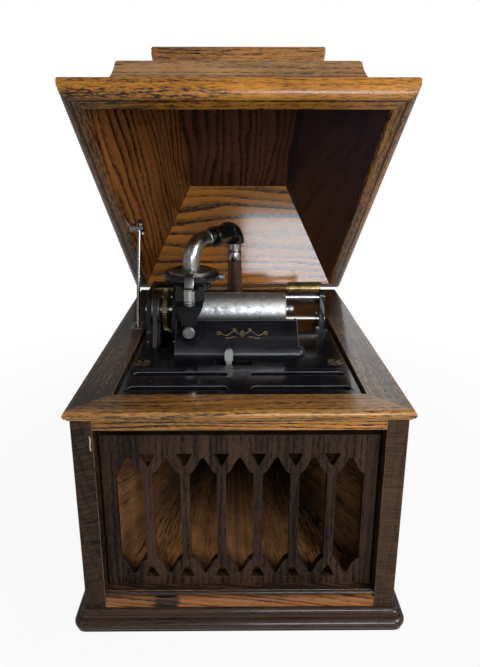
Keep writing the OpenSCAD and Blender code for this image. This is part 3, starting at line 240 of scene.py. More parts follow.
def make_lid_level():
    """Lays the open lid flat, so that its grain follows its own rails and boards."""
    tree, takes, gives = start_group("lid_level", [(VECTOR, "Vector", None)], [(VECTOR, "Vector")])
    turn = add(tree, "ShaderNodeVectorRotate", rotation_type="X_AXIS")
    wire(tree, takes["Vector"], turn.inputs["Vector"])
    turn.inputs["Center"].default_value = HINGE
    turn.inputs["Angle"].default_value = LID_ANGLE
    wire(tree, turn.outputs[0], gives["Vector"])
    return tree


def make_handling():
    """Soft patches of rubbed finish and grime, with a few fine scratches."""
    tree, takes, gives = start_group(
        "handling",
        [(VECTOR, "Vector", None), (NUMBER, "Patch Scale", 22.0), (NUMBER, "Scratch Scale", 60.0)],
        [(NUMBER, "Grime"), (NUMBER, "Scratch")])
    cloud = speckle(tree, takes["Vector"], takes["Patch Scale"], 5.0, 0.6)
    wire(tree, spread(tree, cloud, 0.42, 0.72), gives["Grime"])
    fine = speckle(tree, times(tree, takes["Vector"], (1.0, 9.0, 5.0)), takes["Scratch Scale"], 1.0, 0.3)
    near = maths(tree, "ABSOLUTE", minus(tree, fine, 0.5))
    wire(tree, spread(tree, near, 0.004, 0.0), gives["Scratch"])
    return tree


def make_plating():
    """Worn nickel: cloudy dull patches, dark pits and fine speckle."""
    tree, takes, gives = start_group(
        "plating", [(VECTOR, "Vector", None), (NUMBER, "Scale", 60.0), (NUMBER, "Pitting", 0.5)],
        [(NUMBER, "Cloud"), (NUMBER, "Pits"), (NUMBER, "Height")])
    cloud = speckle(tree, takes["Vector"], takes["Scale"], 6.0, 0.65)
    fine = speckle(tree, takes["Vector"], by(tree, takes["Scale"], 7.0), 3.0, 0.6)
    clouded = spread(tree, cloud, 0.36, 0.66)
    pits = by(tree, spread(tree, fine, 0.55, 0.72), takes["Pitting"])
    wire(tree, clouded, gives["Cloud"])
    wire(tree, by(tree, pits, plus(tree, clouded, 0.3), clamp=True), gives["Pits"])
    wire(tree, minus(tree, 1.0, pits), gives["Height"])
    return tree


oak_figure = make_oak_figure()
rail_turn = make_rail_turn()
lid_level = make_lid_level()
handling = make_handling()
plating = make_plating()


def start_material(name, roughness, metallic=0.0, coat=0.0, coat_roughness=0.1, specular=0.5):
    material = bpy.data.materials.new(name)
    material.use_nodes = True
    tree = material.node_tree
    tree.nodes.clear()
    shader = add(tree, "ShaderNodeBsdfPrincipled")
    shader.inputs["Roughness"].default_value = roughness
    shader.inputs["Metallic"].default_value = metallic
    shader.inputs["Specular IOR Level"].default_value = specular
    shader.inputs["Coat Weight"].default_value = coat
    shader.inputs["Coat Roughness"].default_value = coat_roughness
    wire(tree, shader.outputs[0], add(tree, "ShaderNodeOutputMaterial").inputs["Surface"])
    where = add(tree, "ShaderNodeTexCoord").outputs["Object"]
    return material, tree, shader, where


def raise_bump(tree, shader, height, strength, distance):
    bump = add(tree, "ShaderNodeBump")
    bump.inputs["Strength"].default_value = strength
    bump.inputs["Distance"].default_value = distance
    wire(tree, height, bump.inputs["Height"])
    wire(tree, bump.outputs[0], shader.inputs["Normal"])


def srgb(red, green, blue):
    def linear(value):
        value /= 255.0
        return value / 12.92 if value <= 0.04045 else ((value + 0.055) / 1.055) ** 2.4
    return (linear(red), linear(green), linear(blue), 1.0)


def oak(name, light, dark, along="X", rails=None, lid_board=False, spacing=0.008, warp=0.03, lines=0.6,
        pores=0.5, tone=0.5, rays=0.0, lean=(0.0, 0.0), roughness=0.3, coat=0.3, grime=0.3, start=0.0,
        throat=None, sides=0.0, left_end=0.0, right_end=0.0, dark_over=None, quirk=None, patch=None, bump=0.4,
        coat_roughness=0.12, specular=0.3, right_shade=None, worn_nose=0.0, shade_behind=None):
    """A varnished oak board. along is the grain's axis, rails the half sizes of a mitred frame.

    sides, left_end, right_end and dark_over darken a frame's side rails, an end and what lies over a height.
    The darker left end is painted shade, away from the light on the right; the darker right end is painted
    shade on the horn's unlit right wall and darker wood on the lid's rim. quirk is the distance from the
    outer edge of a fine dark line of painted shade, in the crease where the flare meets the flat, and
    worn_nose how much darker a frame is away from its rubbed outer edge. The colour for a right-hand board is
    painted shade on a board that faces away from the light, the depth given is where painted shade begins
    towards the back, and patch the centre and reach of a dark stained patch.
    """
    material, tree, shader, where = start_material(name, roughness, 0.0, coat, coat_roughness, specular)
    spot = where
    x, y, z = split(tree, spot)
    # The darkening mixed into the grain: the left ends, the horn's right end, the deep back and the quirk
    # line are painted shade, while the side rails and the patch are darker wood and what lies over a height
    # is made darker.
    stain_and_shade = by(tree, spread(tree, x, *LEFT_END), left_end)
    stain_and_shade = plus(tree, stain_and_shade, by(tree, spread(tree, x, *RIGHT_END), right_end))
    if dark_over:
        stain_and_shade = plus(tree, stain_and_shade, by(tree, spread(tree, z, *dark_over), DEEP_OR_HIGH_DARKENING))
    # Painted shade, darker towards the back.
    if shade_behind:
        stain_and_shade = plus(tree, stain_and_shade, by(tree, spread(tree, y, *shade_behind), DEEP_OR_HIGH_DARKENING))
    if patch:
        away = add(tree, "ShaderNodeVectorMath", operation="DISTANCE")
        wire(tree, spot, away.inputs[0])
        centre, reach = patch
        away.inputs[1].default_value = centre
        edge = speckle(tree, spot, 60.0, 3.0)
        ragged = plus(tree, away.outputs["Value"], by(tree, edge, 0.02))
        stain_and_shade = plus(tree, stain_and_shade, spread(tree, ragged, reach + 0.012, reach + 0.004, 0.0, PATCH_STAIN))
    if lid_board:
        where = place(tree, lid_level, Vector=where)["Vector"]
        x, y, z = split(tree, where)
    if rails:
        turned = place(tree, rail_turn, Vector=where, Half_Width=rails[0], Half_Depth=rails[1])
        where = turned["Vector"]
        stain_and_shade = plus(tree, stain_and_shade, by(tree, turned["Side"], sides))
        # A fine dark line of painted shade in the crease where the flare meets the flat.
        if quirk:
            off = maths(tree, "ABSOLUTE", plus(tree, turned["Past"], quirk))
            stain_and_shade = plus(tree, stain_and_shade, spread(tree, off, 0.0016, 0.0006, 0.0, QUIRK_SHADE))
        stain_and_shade = plus(tree, stain_and_shade, spread(tree, turned["Past"], -0.002, -0.008, 0.0, worn_nose))
    elif throat:
        aside = minus(tree, x, throat[0])
        turn = maths(tree, "ARCTAN2", aside, minus(tree, z, throat[1]))
        where = join(tree, by(tree, y, 0.55), by(tree, turn, 0.2), 0.0)
    else:
        where = join(tree, *{"X": (x, z, y), "Y": (y, x, z), "Z": (z, x, y)}[along])
    if any(lean):
        turn = add(tree, "ShaderNodeVectorRotate", rotation_type="Z_AXIS")
        wire(tree, where, turn.inputs["Vector"])
        first, last = (math.radians(angle) for angle in lean)
        wire(tree, spread(tree, x, -0.1, 0.1, first, last), turn.inputs["Angle"])
        where = turn.outputs[0]
    if start:
        shift = add(tree, "ShaderNodeVectorMath", operation="ADD")
        wire(tree, where, shift.inputs[0])
        shift.inputs[1].default_value = (start * 1.7, start, start * 0.6)
        where = shift.outputs[0]
    figure = place(tree, oak_figure, Vector=where, Light=light, Dark=dark, Spacing=spacing, Warp=warp,
                   Lines=lines, Pores=pores, Tone=tone, Rays=rays, Stain=stain_and_shade)
    wear = place(tree, handling, Vector=spot)
    dirt = by(tree, wear["Grime"], grime)
    shade = tuple(0.5 * c for c in dark[:3]) + (1.0,)
    colour = blend(tree, dirt, figure["Color"], shade)
    # A right-hand board turns towards a darker colour, with less coat: painted shade on a board that faces
    # away from the light.
    if right_shade:
        colour = blend(tree, spread(tree, x, *RIGHT_BOARD, 0.0, RIGHT_SHADE), colour, right_shade)
        wire(tree, spread(tree, x, *RIGHT_BOARD, coat, 0.4 * coat), shader.inputs["Coat Weight"])
    wire(tree, colour, shader.inputs["Base Color"])
    rough = plus(tree, by(tree, figure["Dull"], 0.18), roughness)
    wire(tree, plus(tree, rough, by(tree, wear["Grime"], 0.1)), shader.inputs["Roughness"])
    raise_bump(tree, shader, figure["Height"], bump, 0.0005)
    return material


def enamel(name, colour, haze, roughness, coat=0.35):
    """Baked gloss enamel with rubbed haze and dust specks."""
    material, tree, shader, where = start_material(name, roughness, 0.0, coat, 0.05, 0.25)
    wear = place(tree, handling, Vector=where, Patch_Scale=30.0, Scratch_Scale=45.0)
    dust = speckle(tree, where, 900.0, 2.0, 0.5)
    specks = by(tree, spread(tree, dust, 0.66, 0.74), 0.6)
    share = plus(tree, by(tree, wear["Grime"], 0.5), specks, clamp=True)
    wire(tree, blend(tree, share, colour, haze), shader.inputs["Base Color"])
    wire(tree, plus(tree, by(tree, wear["Grime"], 0.14), roughness), shader.inputs["Roughness"])
    ripple = speckle(tree, where, 140.0, 3.0, 0.5)
    raise_bump(tree, shader, plus(tree, ripple, by(tree, wear["Scratch"], -0.6)), 0.08, 0.0003)
    return material


def plated(name, bright, dull, scale=60.0, pitting=0.5, roughness=0.22, clouding=0.55, worn_and_shaded_end=None):
    """Plated or bare metal with cloudy wear and pits, and an end that grows duller from one place along X to
    another: worn plating and painted shade.
    """
    material, tree, shader, where = start_material(name, roughness, metallic=1.0)
    worn = place(tree, plating, Vector=where, Scale=scale, Pitting=pitting)
    share = plus(tree, by(tree, worn["Cloud"], clouding), worn["Pits"], clamp=True)
    # Duller towards one end: worn plating and painted shade.
    if worn_and_shaded_end:
        share = plus(tree, share, spread(tree, split(tree, where)[0], *worn_and_shaded_end, 0.0, 0.35), clamp=True)
    wire(tree, blend(tree, share, bright, dull), shader.inputs["Base Color"])
    rough = plus(tree, by(tree, worn["Cloud"], 0.2), by(tree, worn["Pits"], 0.25))
    wire(tree, plus(tree, rough, roughness), shader.inputs["Roughness"])
    raise_bump(tree, shader, worn["Height"], 0.2, 0.0002)
    return material


def leather(name, light, dark):
    """Worn belt leather."""
    material, tree, shader, where = start_material(name, 0.6)
    grain = speckle(tree, where, 500.0, 4.0, 0.6)
    wear = place(tree, handling, Vector=where, Patch_Scale=70.0, Scratch_Scale=90.0)
    share = plus(tree, by(tree, grain, 0.6), by(tree, wear["Grime"], 0.4), clamp=True)
    wire(tree, blend(tree, share, light, dark), shader.inputs["Base Color"])
    raise_bump(tree, shader, grain, 0.4, 0.0004)
    return material


# Wood, by board. A board's darker left end is painted shade, away from the light on the right.
RIM_HALF, LID_HALF, BASE_HALF = (0.160, 0.212), (0.170, 0.222), (0.167, 0.219)
# The lid rim's fine dark line is painted shade in the crease where the flare meets the flat.
lid_rim_oak = oak("lid_rim_oak", srgb(190, 126, 46), srgb(36, 19, 8), rails=LID_HALF, lid_board=True,
                  spacing=0.006, lines=0.3, pores=0.72, tone=0.5, roughness=0.24, coat=0.7, grime=0.25,
                  sides=0.17, left_end=0.36, right_end=0.2, quirk=0.0117, bump=0.6, coat_roughness=0.22,
                  specular=0.15)
lid_cove_oak = oak("lid_cove_oak", srgb(165, 124, 80), srgb(46, 28, 16), rails=LID_HALF, lid_board=True,
                   spacing=0.007, lines=0.55, pores=0.65, tone=0.6, start=0.4, grime=0.3)
lid_cap_oak = oak("lid_cap_oak", srgb(174, 120, 64), srgb(36, 20, 10), along="X", lid_board=True,
                  spacing=0.006, lines=0.35, pores=0.75, start=0.9, grime=0.3, left_end=0.2)
# The right-hand lid board is turned to a darker colour: painted shade, as it faces away from the light.
lid_side_oak = oak("lid_side_oak", srgb(150, 92, 48), srgb(18, 10, 7), along="Y", lid_board=True,
                   spacing=0.012, warp=0.04, lines=1.2, pores=0.55, tone=0.4, roughness=0.25, coat=0.8,
                   start=0.15, grime=0.15, coat_roughness=0.07, specular=0.05, right_shade=srgb(54, 48, 60))
lid_end_oak = oak("lid_end_oak", srgb(205, 128, 36), srgb(22, 10, 5), along="X", lid_board=True,
                  spacing=0.0075, warp=0.02, lines=1.3, pores=0.35, tone=0.4, roughness=0.2, coat=0.75,
                  grime=0.1, start=0.55, bump=0.9, coat_roughness=0.105, specular=0.05)
lid_ceiling_oak = oak("lid_ceiling_oak", srgb(104, 63, 50), srgb(18, 10, 8), along="Y", lid_board=True,
                      spacing=0.011, warp=0.07, lines=1.1, pores=0.6, coat=0.2, start=0.2)
# The rim is darker towards the back: painted shade under the open lid.
rim_oak = oak("rim_oak", srgb(186, 130, 62), srgb(30, 18, 9), rails=RIM_HALF, spacing=0.006, lines=0.35,
              pores=0.68, tone=0.6, roughness=0.28, coat=0.6, start=0.3, sides=0.3, left_end=0.18,
              worn_nose=0.36, shade_behind=(0.06, 0.17))
top_rail_oak = oak("top_rail_oak", srgb(182, 122, 50), srgb(24, 13, 6), along="X", spacing=0.0042,
                   warp=0.02, lines=1.2, pores=0.6, tone=0.8, start=0.7, left_end=0.35)
sill_oak = oak("sill_oak", srgb(168, 108, 60), srgb(34, 24, 19), along="X", spacing=0.005, warp=0.02,
               lines=0.9, pores=0.35, tone=0.7, lean=(7.0, 7.0), start=1.2, dark_over=(0.0315, 0.0345),
               patch=((-0.075, -0.207, 0.025), 0.016))
post_oak = oak("post_oak", srgb(74, 52, 34), srgb(16, 11, 8), along="Z", spacing=0.009, lines=0.2,
               pores=0.35, tone=0.4, rays=0.55, lean=(14.0, 0.0), roughness=0.34, coat=0.15, left_end=0.25,
               specular=0.15)
panel_oak = oak("panel_oak", srgb(96, 66, 42), srgb(28, 18, 12), along="Y", spacing=0.012, warp=0.06,
                lines=0.8, pores=0.5, start=0.25)
back_oak = oak("back_oak", srgb(92, 63, 41), srgb(28, 18, 12), along="X", spacing=0.012, warp=0.06,
               lines=0.8, pores=0.5, start=0.8)
grille_oak = oak("grille_oak", srgb(67, 47, 35), srgb(14, 9, 7), along="Z", spacing=0.007, lines=0.6,
                 pores=0.7, tone=1.1, roughness=0.38, coat=0.08, left_end=0.4, specular=0.12)
base_oak = oak("base_oak", srgb(58, 41, 33), srgb(13, 9, 7), rails=BASE_HALF, spacing=0.006, lines=0.4,
               pores=0.8, tone=1.0, roughness=0.24, coat=0.5, start=0.5, coat_roughness=0.16, specular=0.15)
# The horn is darker towards its unlit right wall and its deep back: painted shade.
horn_oak = oak("horn_oak", srgb(170, 120, 74), srgb(22, 15, 11), throat=(-0.005, 0.075), spacing=0.004,
               lines=0.3, pores=0.85, tone=0.4, roughness=0.45, coat=0.0, left_end=0.22, right_end=0.4,
               shade_behind=(-0.135, 0.0))
frame_oak = oak("frame_oak", srgb(58, 40, 30), srgb(24, 15, 11), along="X", lines=0.5, roughness=0.5,
                coat=0.0)
# Paler oak on rounded edges: rubbed wear and a painted highlight.
rubbed_highlit_oak = oak("rubbed_highlit_oak", srgb(196, 146, 88), srgb(70, 44, 24), along="X", lines=0.3, pores=0.6,
                 tone=0.8, roughness=0.3, coat=0.3)
bare_oak = oak("bare_oak", srgb(196, 180, 156), srgb(120, 102, 84), along="Z", lines=0.2, pores=0.4,
               roughness=0.6, coat=0.0)
# Paler dark oak on rounded edges: rubbed wear and a painted highlight.
rubbed_highlit_dark_oak = oak("rubbed_highlit_dark_oak", srgb(104, 80, 62), srgb(30, 21, 16), along="X", lines=0.3,
                      pores=0.6, tone=0.8, roughness=0.34, coat=0.2)

# Metal
black_enamel = enamel("black_enamel", (0.005, 0.0055, 0.008, 1.0), (0.016, 0.017, 0.022, 1.0), 0.1)
bed_enamel = enamel("bed_enamel", (0.004, 0.0045, 0.006, 1.0), (0.01, 0.0105, 0.013, 1.0), 0.13, 0.12)
carriage_enamel = enamel("carriage_enamel", (0.004, 0.004, 0.005, 1.0), (0.012, 0.012, 0.014, 1.0), 0.14,
                         0.3)
brown_enamel = enamel("brown_enamel", srgb(66, 42, 32), srgb(34, 20, 15), 0.22)
# The casting foot's lighter, bluer enamel is a painted sheen of its highlight band.
foot_sheen_enamel = enamel("foot_sheen_enamel", (0.012, 0.013, 0.018, 1.0), (0.05, 0.052, 0.06, 1.0), 0.3, 0.1)
# The mandrel's left end is duller: worn plating and painted shade, which keeps the highlight on the right.
mandrel_nickel = plated("mandrel_nickel", (0.86, 0.87, 0.87, 1.0), (0.26, 0.265, 0.27, 1.0), scale=160,
                        pitting=0.8, roughness=0.36, clouding=0.7, worn_and_shaded_end=(0.03, -0.045))
tube_nickel = plated("tube_nickel", (0.5, 0.49, 0.46, 1.0), (0.2, 0.19, 0.17, 1.0), scale=110, pitting=0.6,
                     roughness=0.2, clouding=0.7)
face_nickel = plated("face_nickel", (0.24, 0.235, 0.22, 1.0), (0.09, 0.088, 0.08, 1.0), scale=120,
                     pitting=0.7, roughness=0.28)
bright_nickel = plated("bright_nickel", (0.62, 0.61, 0.58, 1.0), (0.3, 0.29, 0.27, 1.0), scale=110,
                       pitting=0.25, roughness=0.2, clouding=0.4)
rod_nickel = plated("rod_nickel", (0.34, 0.335, 0.32, 1.0), (0.2, 0.195, 0.18, 1.0), scale=80, pitting=0.15,
                    roughness=0.14, clouding=0.4)
knob_nickel = plated("knob_nickel", (0.32, 0.315, 0.3, 1.0), (0.19, 0.185, 0.175, 1.0), scale=140,
                     pitting=0.4, roughness=0.36, clouding=0.5)
paddle_nickel = plated("paddle_nickel", (0.7, 0.7, 0.68, 1.0), (0.42, 0.42, 0.4, 1.0), scale=140,
                       pitting=0.2, roughness=0.42, clouding=0.4)
screw_steel = plated("screw_steel", (0.6, 0.59, 0.56, 1.0), (0.22, 0.22, 0.21, 1.0), scale=120, pitting=0.5,
                     roughness=0.25)
hinge_brass = plated("hinge_brass", (0.5, 0.4, 0.22, 1.0), (0.14, 0.105, 0.055, 1.0), scale=140,
                     pitting=0.7, roughness=0.25, clouding=0.6)
wheel_brass = plated("wheel_brass", (0.27, 0.215, 0.125, 1.0), (0.09, 0.07, 0.04, 1.0), scale=120,
                     pitting=0.6, roughness=0.3)
stay_iron = plated("stay_iron", (0.09, 0.08, 0.07, 1.0), (0.04, 0.035, 0.03, 1.0), scale=120, pitting=0.6,
                   roughness=0.35)
dark_iron = plated("dark_iron", (0.24, 0.24, 0.245, 1.0), (0.1, 0.1, 0.1, 1.0), scale=100, pitting=0.8,
                   roughness=0.42)
gold_leaf = plated("gold_leaf", (0.5, 0.39, 0.2, 1.0), (0.2, 0.15, 0.08, 1.0), scale=300, pitting=0.9,
                   roughness=0.4, clouding=0.8)
# Paler enamel on rounded edges: rubbed wear and a painted highlight.
rubbed_highlit_enamel = enamel("rubbed_highlit_enamel", (0.1, 0.1, 0.11, 1.0), (0.25, 0.25, 0.26, 1.0), 0.2)
belt_leather = leather("belt_leather", srgb(38, 27, 20), srgb(17, 12, 9))

FINISHES = {
    lid_rim_oak: ["lid_rim"], lid_cove_oak: ["lid_tier"], lid_cap_oak: ["lid_cap"],
    lid_side_oak: ["lid_side_panels"], lid_end_oak: ["lid_end_panels"], lid_ceiling_oak: ["lid_ceiling"],
    rim_oak: ["rim_frame"], top_rail_oak: ["top_rail"], sill_oak: ["bottom_rail"], post_oak: ["corner_posts"],
    panel_oak: ["side_panel_left", "side_panel_right"], back_oak: ["back_panel", "bottom_board"],
    grille_oak: ["grille_panel"], base_oak: ["base_moulding"], horn_oak: ["horn_sides", "horn_decks"],
    frame_oak: ["horn_board", "bed_cleats"],
    bed_enamel: ["bedplate"], black_enamel: ["vent_plate", "body_casting", "left_standard", "right_standard"],
    carriage_enamel: ["carriage", "reproducer_body", "tone_elbow"], brown_enamel: ["tone_post"],
    mandrel_nickel: ["mandrel"], tube_nickel: ["neck", "tone_collar"], face_nickel: ["reproducer_face"],
    bright_nickel: ["guide_rod", "stay_guide", "barrel_post"], rod_nickel: ["stay_rod", "stay_bracket"],
    knob_nickel: ["lift_knob"], paddle_nickel: ["start_lever"],
    screw_steel: ["feed_screw"],
    hinge_brass: ["hinge_leaves", "hinge_pins", "lid_hinge_leaves", "crank_escutcheon"],
    wheel_brass: ["mandrel_gear", "feed_gear", "second_arbor", "pulley_arbor", "governor"],
    dark_iron: ["horn_elbow", "motor_plate_left", "motor_plate_right", "motor_pillars", "mandrel_pulley",
                "reproducer_weight", "spring_barrel", "winding_shaft", "winding_gear"],
    belt_leather: ["belt"],
}
for finish, names in FINISHES.items():
    for name in names:
        solid = nodes[name].data
        solid.materials.clear()
        solid.materials.append(finish)


# Edges rounded over by hand and use, paler with wear and a painted highlight

def round_over(names, width, rubbed, pierced=False):
    """Rounds the sharp edges of solids, with a paler finish on the rounding: rubbed wear and a painted
    highlight.
    """
    for name in names:
        solid = nodes[name]
        solid.data.materials.append(rubbed)
        weld = solid.modifiers.new("joined_faces", "WELD")
        weld.merge_threshold = 0.00001
        if not pierced:
            plain = solid.modifiers.new("plain_faces", "DECIMATE")
            plain.decimate_type = "DISSOLVE"
            plain.angle_limit = math.radians(1.0)
        edge = solid.modifiers.new("rounded_edges", "BEVEL")
        edge.width = width
        edge.segments = 2
        edge.limit_method = "ANGLE"
        edge.angle_limit = math.radians(40.0)
        edge.material = 1
        flat = solid.modifiers.new("flat_faces", "WEIGHTED_NORMAL")
        flat.weight = 100


round_over(["lid_cap", "top_rail"], 0.0006, rubbed_highlit_oak)
round_over(["lid_rim", "lid_tier"], 0.0006, rubbed_highlit_oak, pierced=True)
round_over(["rim_frame"], 0.0009, rubbed_highlit_oak, pierced=True)
round_over(["corner_posts", "bottom_rail"], 0.0006, rubbed_highlit_dark_oak)
round_over(["grille_panel", "base_moulding"], 0.0006, rubbed_highlit_dark_oak, pierced=True)
round_over(["bedplate", "vent_plate", "body_casting", "left_standard", "right_standard"], 0.0005,
           rubbed_highlit_enamel, pierced=True)


# Pieces, drawn in millimetres

UP = (0, 0, 1)
GOLD_LINE_WIDTH, GOLD_LINE_THICK = 0.4, 0.06
GOLD_THICK, SCROLL_WIDTH, STROKE_WIDTH, DIAMOND_WIDTH = 0.07, 0.6, 0.8, 0.6
HINGE_SCREW_RADIUS, HINGE_SCREW_HIGH = 2.6, 0.22


def make_piece(name, shape, body, finish, crease=35.0):
    """Makes a drawn shape into a piece that rides on a body and takes the given finish."""
    bmesh.ops.scale(shape, vec=(0.001, 0.001, 0.001), verts=shape.verts)
    bmesh.ops.recalc_face_normals(shape, faces=shape.faces)
    mesh = bpy.data.meshes.new(name)
    shape.to_mesh(mesh)
    shape.free()
    mesh.shade_smooth()
    mesh.set_sharp_from_angle(angle=math.radians(crease))
    mesh.materials.append(finish)
    piece = bpy.data.objects.new(name, mesh)
    bpy.context.scene.collection.objects.link(piece)
    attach(piece, body)


def skin(shape, rows, closed=False):
    """Covers the way from row to row of corners with faces; closed joins the last row to the first."""
    for first, second in zip(rows, rows[1:] + rows[:1] if closed else rows[1:]):
        for k in range(max(len(first), len(second))):
            n = k + 1
            corners = [first[k % len(first)], first[n % len(first)],
                       second[n % len(second)], second[k % len(second)]]
            shape.faces.new(list(dict.fromkeys(corners)))


def turn_on_lathe(shape, base, axis, profile, closed=False, sides=32):
    """Turns a profile of (distance along the axis, radius); closed makes a loose ring of it."""
    axis = Vector(axis).normalized()
    out = axis.orthogonal().normalized()
    other = axis.cross(out)
    rows = []
    for along, radius in profile:
        middle = Vector(base) + axis * along
        corners = sides if radius else 1
        row = []
        for k in range(corners):
            turn = 2 * math.pi * k / sides
            row.append(shape.verts.new(middle + (out * math.cos(turn) + other * math.sin(turn)) * radius))
        rows.append(row)
    skin(shape, rows, closed)


def turn_band(shape, base, axis, start, end, radius, bead=0.6, sunk=1.2):
    """A ring with rolled edges round a tube."""
    inner, edge, shoulder = radius - sunk, radius - bead, radius - bead / 4
    profile = [(start, inner), (start, edge), (start + bead / 2, shoulder), (start + bead, radius),
               (end - bead, radius), (end - bead / 2, shoulder), (end, edge), (end, inner)]
    turn_on_lathe(shape, base, axis, profile, closed=True, sides=40)


def lay_strip(shape, path, width, thick, up, closed=False):
    """A flat strip along a path, raised towards up."""
    up = Vector(up).normalized()
    path = [Vector(point) for point in path]
    last = len(path) - 1
    rows = []
    for i, here in enumerate(path):
        before = path[i - 1] if i or closed else here
        after = path[(i + 1) % len(path)] if i < last or closed else here
        ways = [way.normalized() for way in (here - before, after - here) if way.length]
        along = sum(ways, Vector()).normalized()
        side = along.cross(up).normalized()
        mitre = max(0.5, side.dot(ways[0].cross(up).normalized()))
        reach = side * width / 2 / mitre
        rows.append([shape.verts.new(here + reach * s + up * lift)
                     for s, lift in ((-1, 0.0), (1, 0.0), (0.8, thick), (-0.8, thick))])
    skin(shape, rows, closed)
    if not closed:
        shape.faces.new(rows[0])
        shape.faces.new(rows[-1])


def drive_screw(shape, at, up, radius, height, turn=0.0):
    """A slotted screw head: a low disc with two domed halves that leave the slot between them."""
    up = Vector(up).normalized()
    out = up.orthogonal().normalized()
    out.rotate(Matrix.Rotation(turn, 3, up))
    other = up.cross(out)
    half_slot = 0.16 * radius
    disc = 0.3 * height
    turn_on_lathe(shape, at, up, [(-0.3, 0.0), (-0.3, radius), (disc, radius), (disc, 0.0)], sides=24)
    for side in (-1, 1):
        rows = []
        for lift, reach in ((0.3, 1.0), (0.62, 0.97), (0.86, 0.82), (1.0, 0.6)):
            size = radius * reach
            first = math.asin(half_slot / size)
            turns = [first + (math.pi - 2 * first) * k / 12 for k in range(13)]
            rows.append([shape.verts.new(Vector(at) + up * lift * height + out * math.cos(t) * size
                                         + other * math.sin(t) * size * side) for t in turns])
        skin(shape, rows)
        shape.faces.new(rows[-1])


def drive_bolt(shape, at, up, radius, height):
    """A six-sided bolt head with a chamfered top on a washer."""
    washer = 1.45 * radius
    turn_on_lathe(shape, at, up, [(-0.3, 0.0), (-0.3, washer), (0.5, washer), (0.6, radius)], sides=24)
    turn_on_lathe(shape, at, up, [(0.5, 0.0), (0.5, radius), (0.82 * height, radius), (height, 0.84 * radius),
                                  (height, 0.0)], sides=6)


def lid_point(x, y, z):
    """A point of the closed lid, where the open lid has it."""
    point = Vector((x, y, z)) - HINGE * 1000
    point.rotate(Matrix.Rotation(-LID_ANGLE, 3, "X"))
    return point + HINGE * 1000


def spiral(centre, radius, end_radius, first, turns, steps=28):
    points = []
    for k in range(steps + 1):
        share = k / steps
        angle = first + 2 * math.pi * turns * share
        reach = radius + (end_radius - radius) * share
        points.append((centre[0] + reach * math.cos(angle), centre[1] + reach * math.sin(angle)))
    return points


def wave(start, end, swing, steps=24):
    (x0, y0), (x1, y1) = start, end
    points = []
    for k in range(steps + 1):
        share = k / steps
        rise = swing * math.sin(2 * math.pi * share) * (1 - 0.35 * share)
        points.append((x0 + (x1 - x0) * share, y0 + (y1 - y0) * share + rise))
    return points


def gild_bedplate():
    """Two fine gold lines along the bedplate's sides and back, and a scroll in each front corner."""
    lines = bmesh.new()
    for inset in (3.0, 5.0):
        x, front, back = BED_HALF - inset, BED_FRONT + inset, BED_BACK - inset
        path = [(-x, front, BED_TOP), (-x, back, BED_TOP), (x, back, BED_TOP), (x, front, BED_TOP)]
        lay_strip(lines, path, GOLD_LINE_WIDTH, GOLD_LINE_THICK, UP)
    make_piece("bed_gold_lines", lines, "cabinet", gold_leaf)
    scrolls = bmesh.new()
    for side in (-1, 1):
        strokes = [spiral((112.5, -90.5), 4.2, 0.8, 2.6, -1.5), spiral((103.0, -82.0), 3.8, 0.8, -0.6, 1.5),
                   spiral((104.5, -91.5), 2.6, 0.6, 0.4, -1.25), spiral((112.0, -81.0), 2.8, 0.6, 3.6, 1.25),
                   wave((99.0, -94.0), (116.0, -77.5), 1.8), wave((98.5, -88.0), (108.0, -77.0), -1.3),
                   wave((106.5, -95.5), (116.5, -85.0), 1.3)]
        for stroke in strokes:
            lay_strip(scrolls, [(side * x, y, BED_TOP) for x, y in stroke], SCROLL_WIDTH, GOLD_THICK, UP)
    make_piece("bed_gold_scrolls", scrolls, "cabinet", gold_leaf)


def gild_casting():
    """A plain mirrored line ornament on the casting's sloping front."""
    up = Vector((0.0, -0.664, 0.747))
    along = Vector((0.0, 0.747, 0.664))
    middle = Vector((4.0, -43.5, 254.0))
    lines = bmesh.new()
    strokes = []
    for side in (-1, 1):
        half = [wave((4.5, 0.0), (25.0, 0.4), 3.6), spiral((27.8, 0.4), 3.0, 0.7, math.pi, -1.4),
                wave((7.0, -4.8), (20.0, -5.8), 0.7), spiral((9.0, 5.2), 1.9, 0.6, 0.0, 1.3)]
        strokes += [[(side * u, v) for u, v in stroke] for stroke in half]

    def on_front(points):
        return [middle + Vector((u, 0, 0)) + along * v for u, v in points]

    for stroke in strokes:
        lay_strip(lines, on_front(stroke), STROKE_WIDTH, GOLD_THICK, up)
    for reach in (1.8, 3.4):
        corners = [(-reach, 0.0), (0.0, -1.3 * reach), (reach, 0.0), (0.0, 1.3 * reach)]
        lay_strip(lines, on_front(corners), DIAMOND_WIDTH, GOLD_THICK, up, closed=True)
    make_piece("casting_gold_lines", lines, "cabinet", gold_leaf)


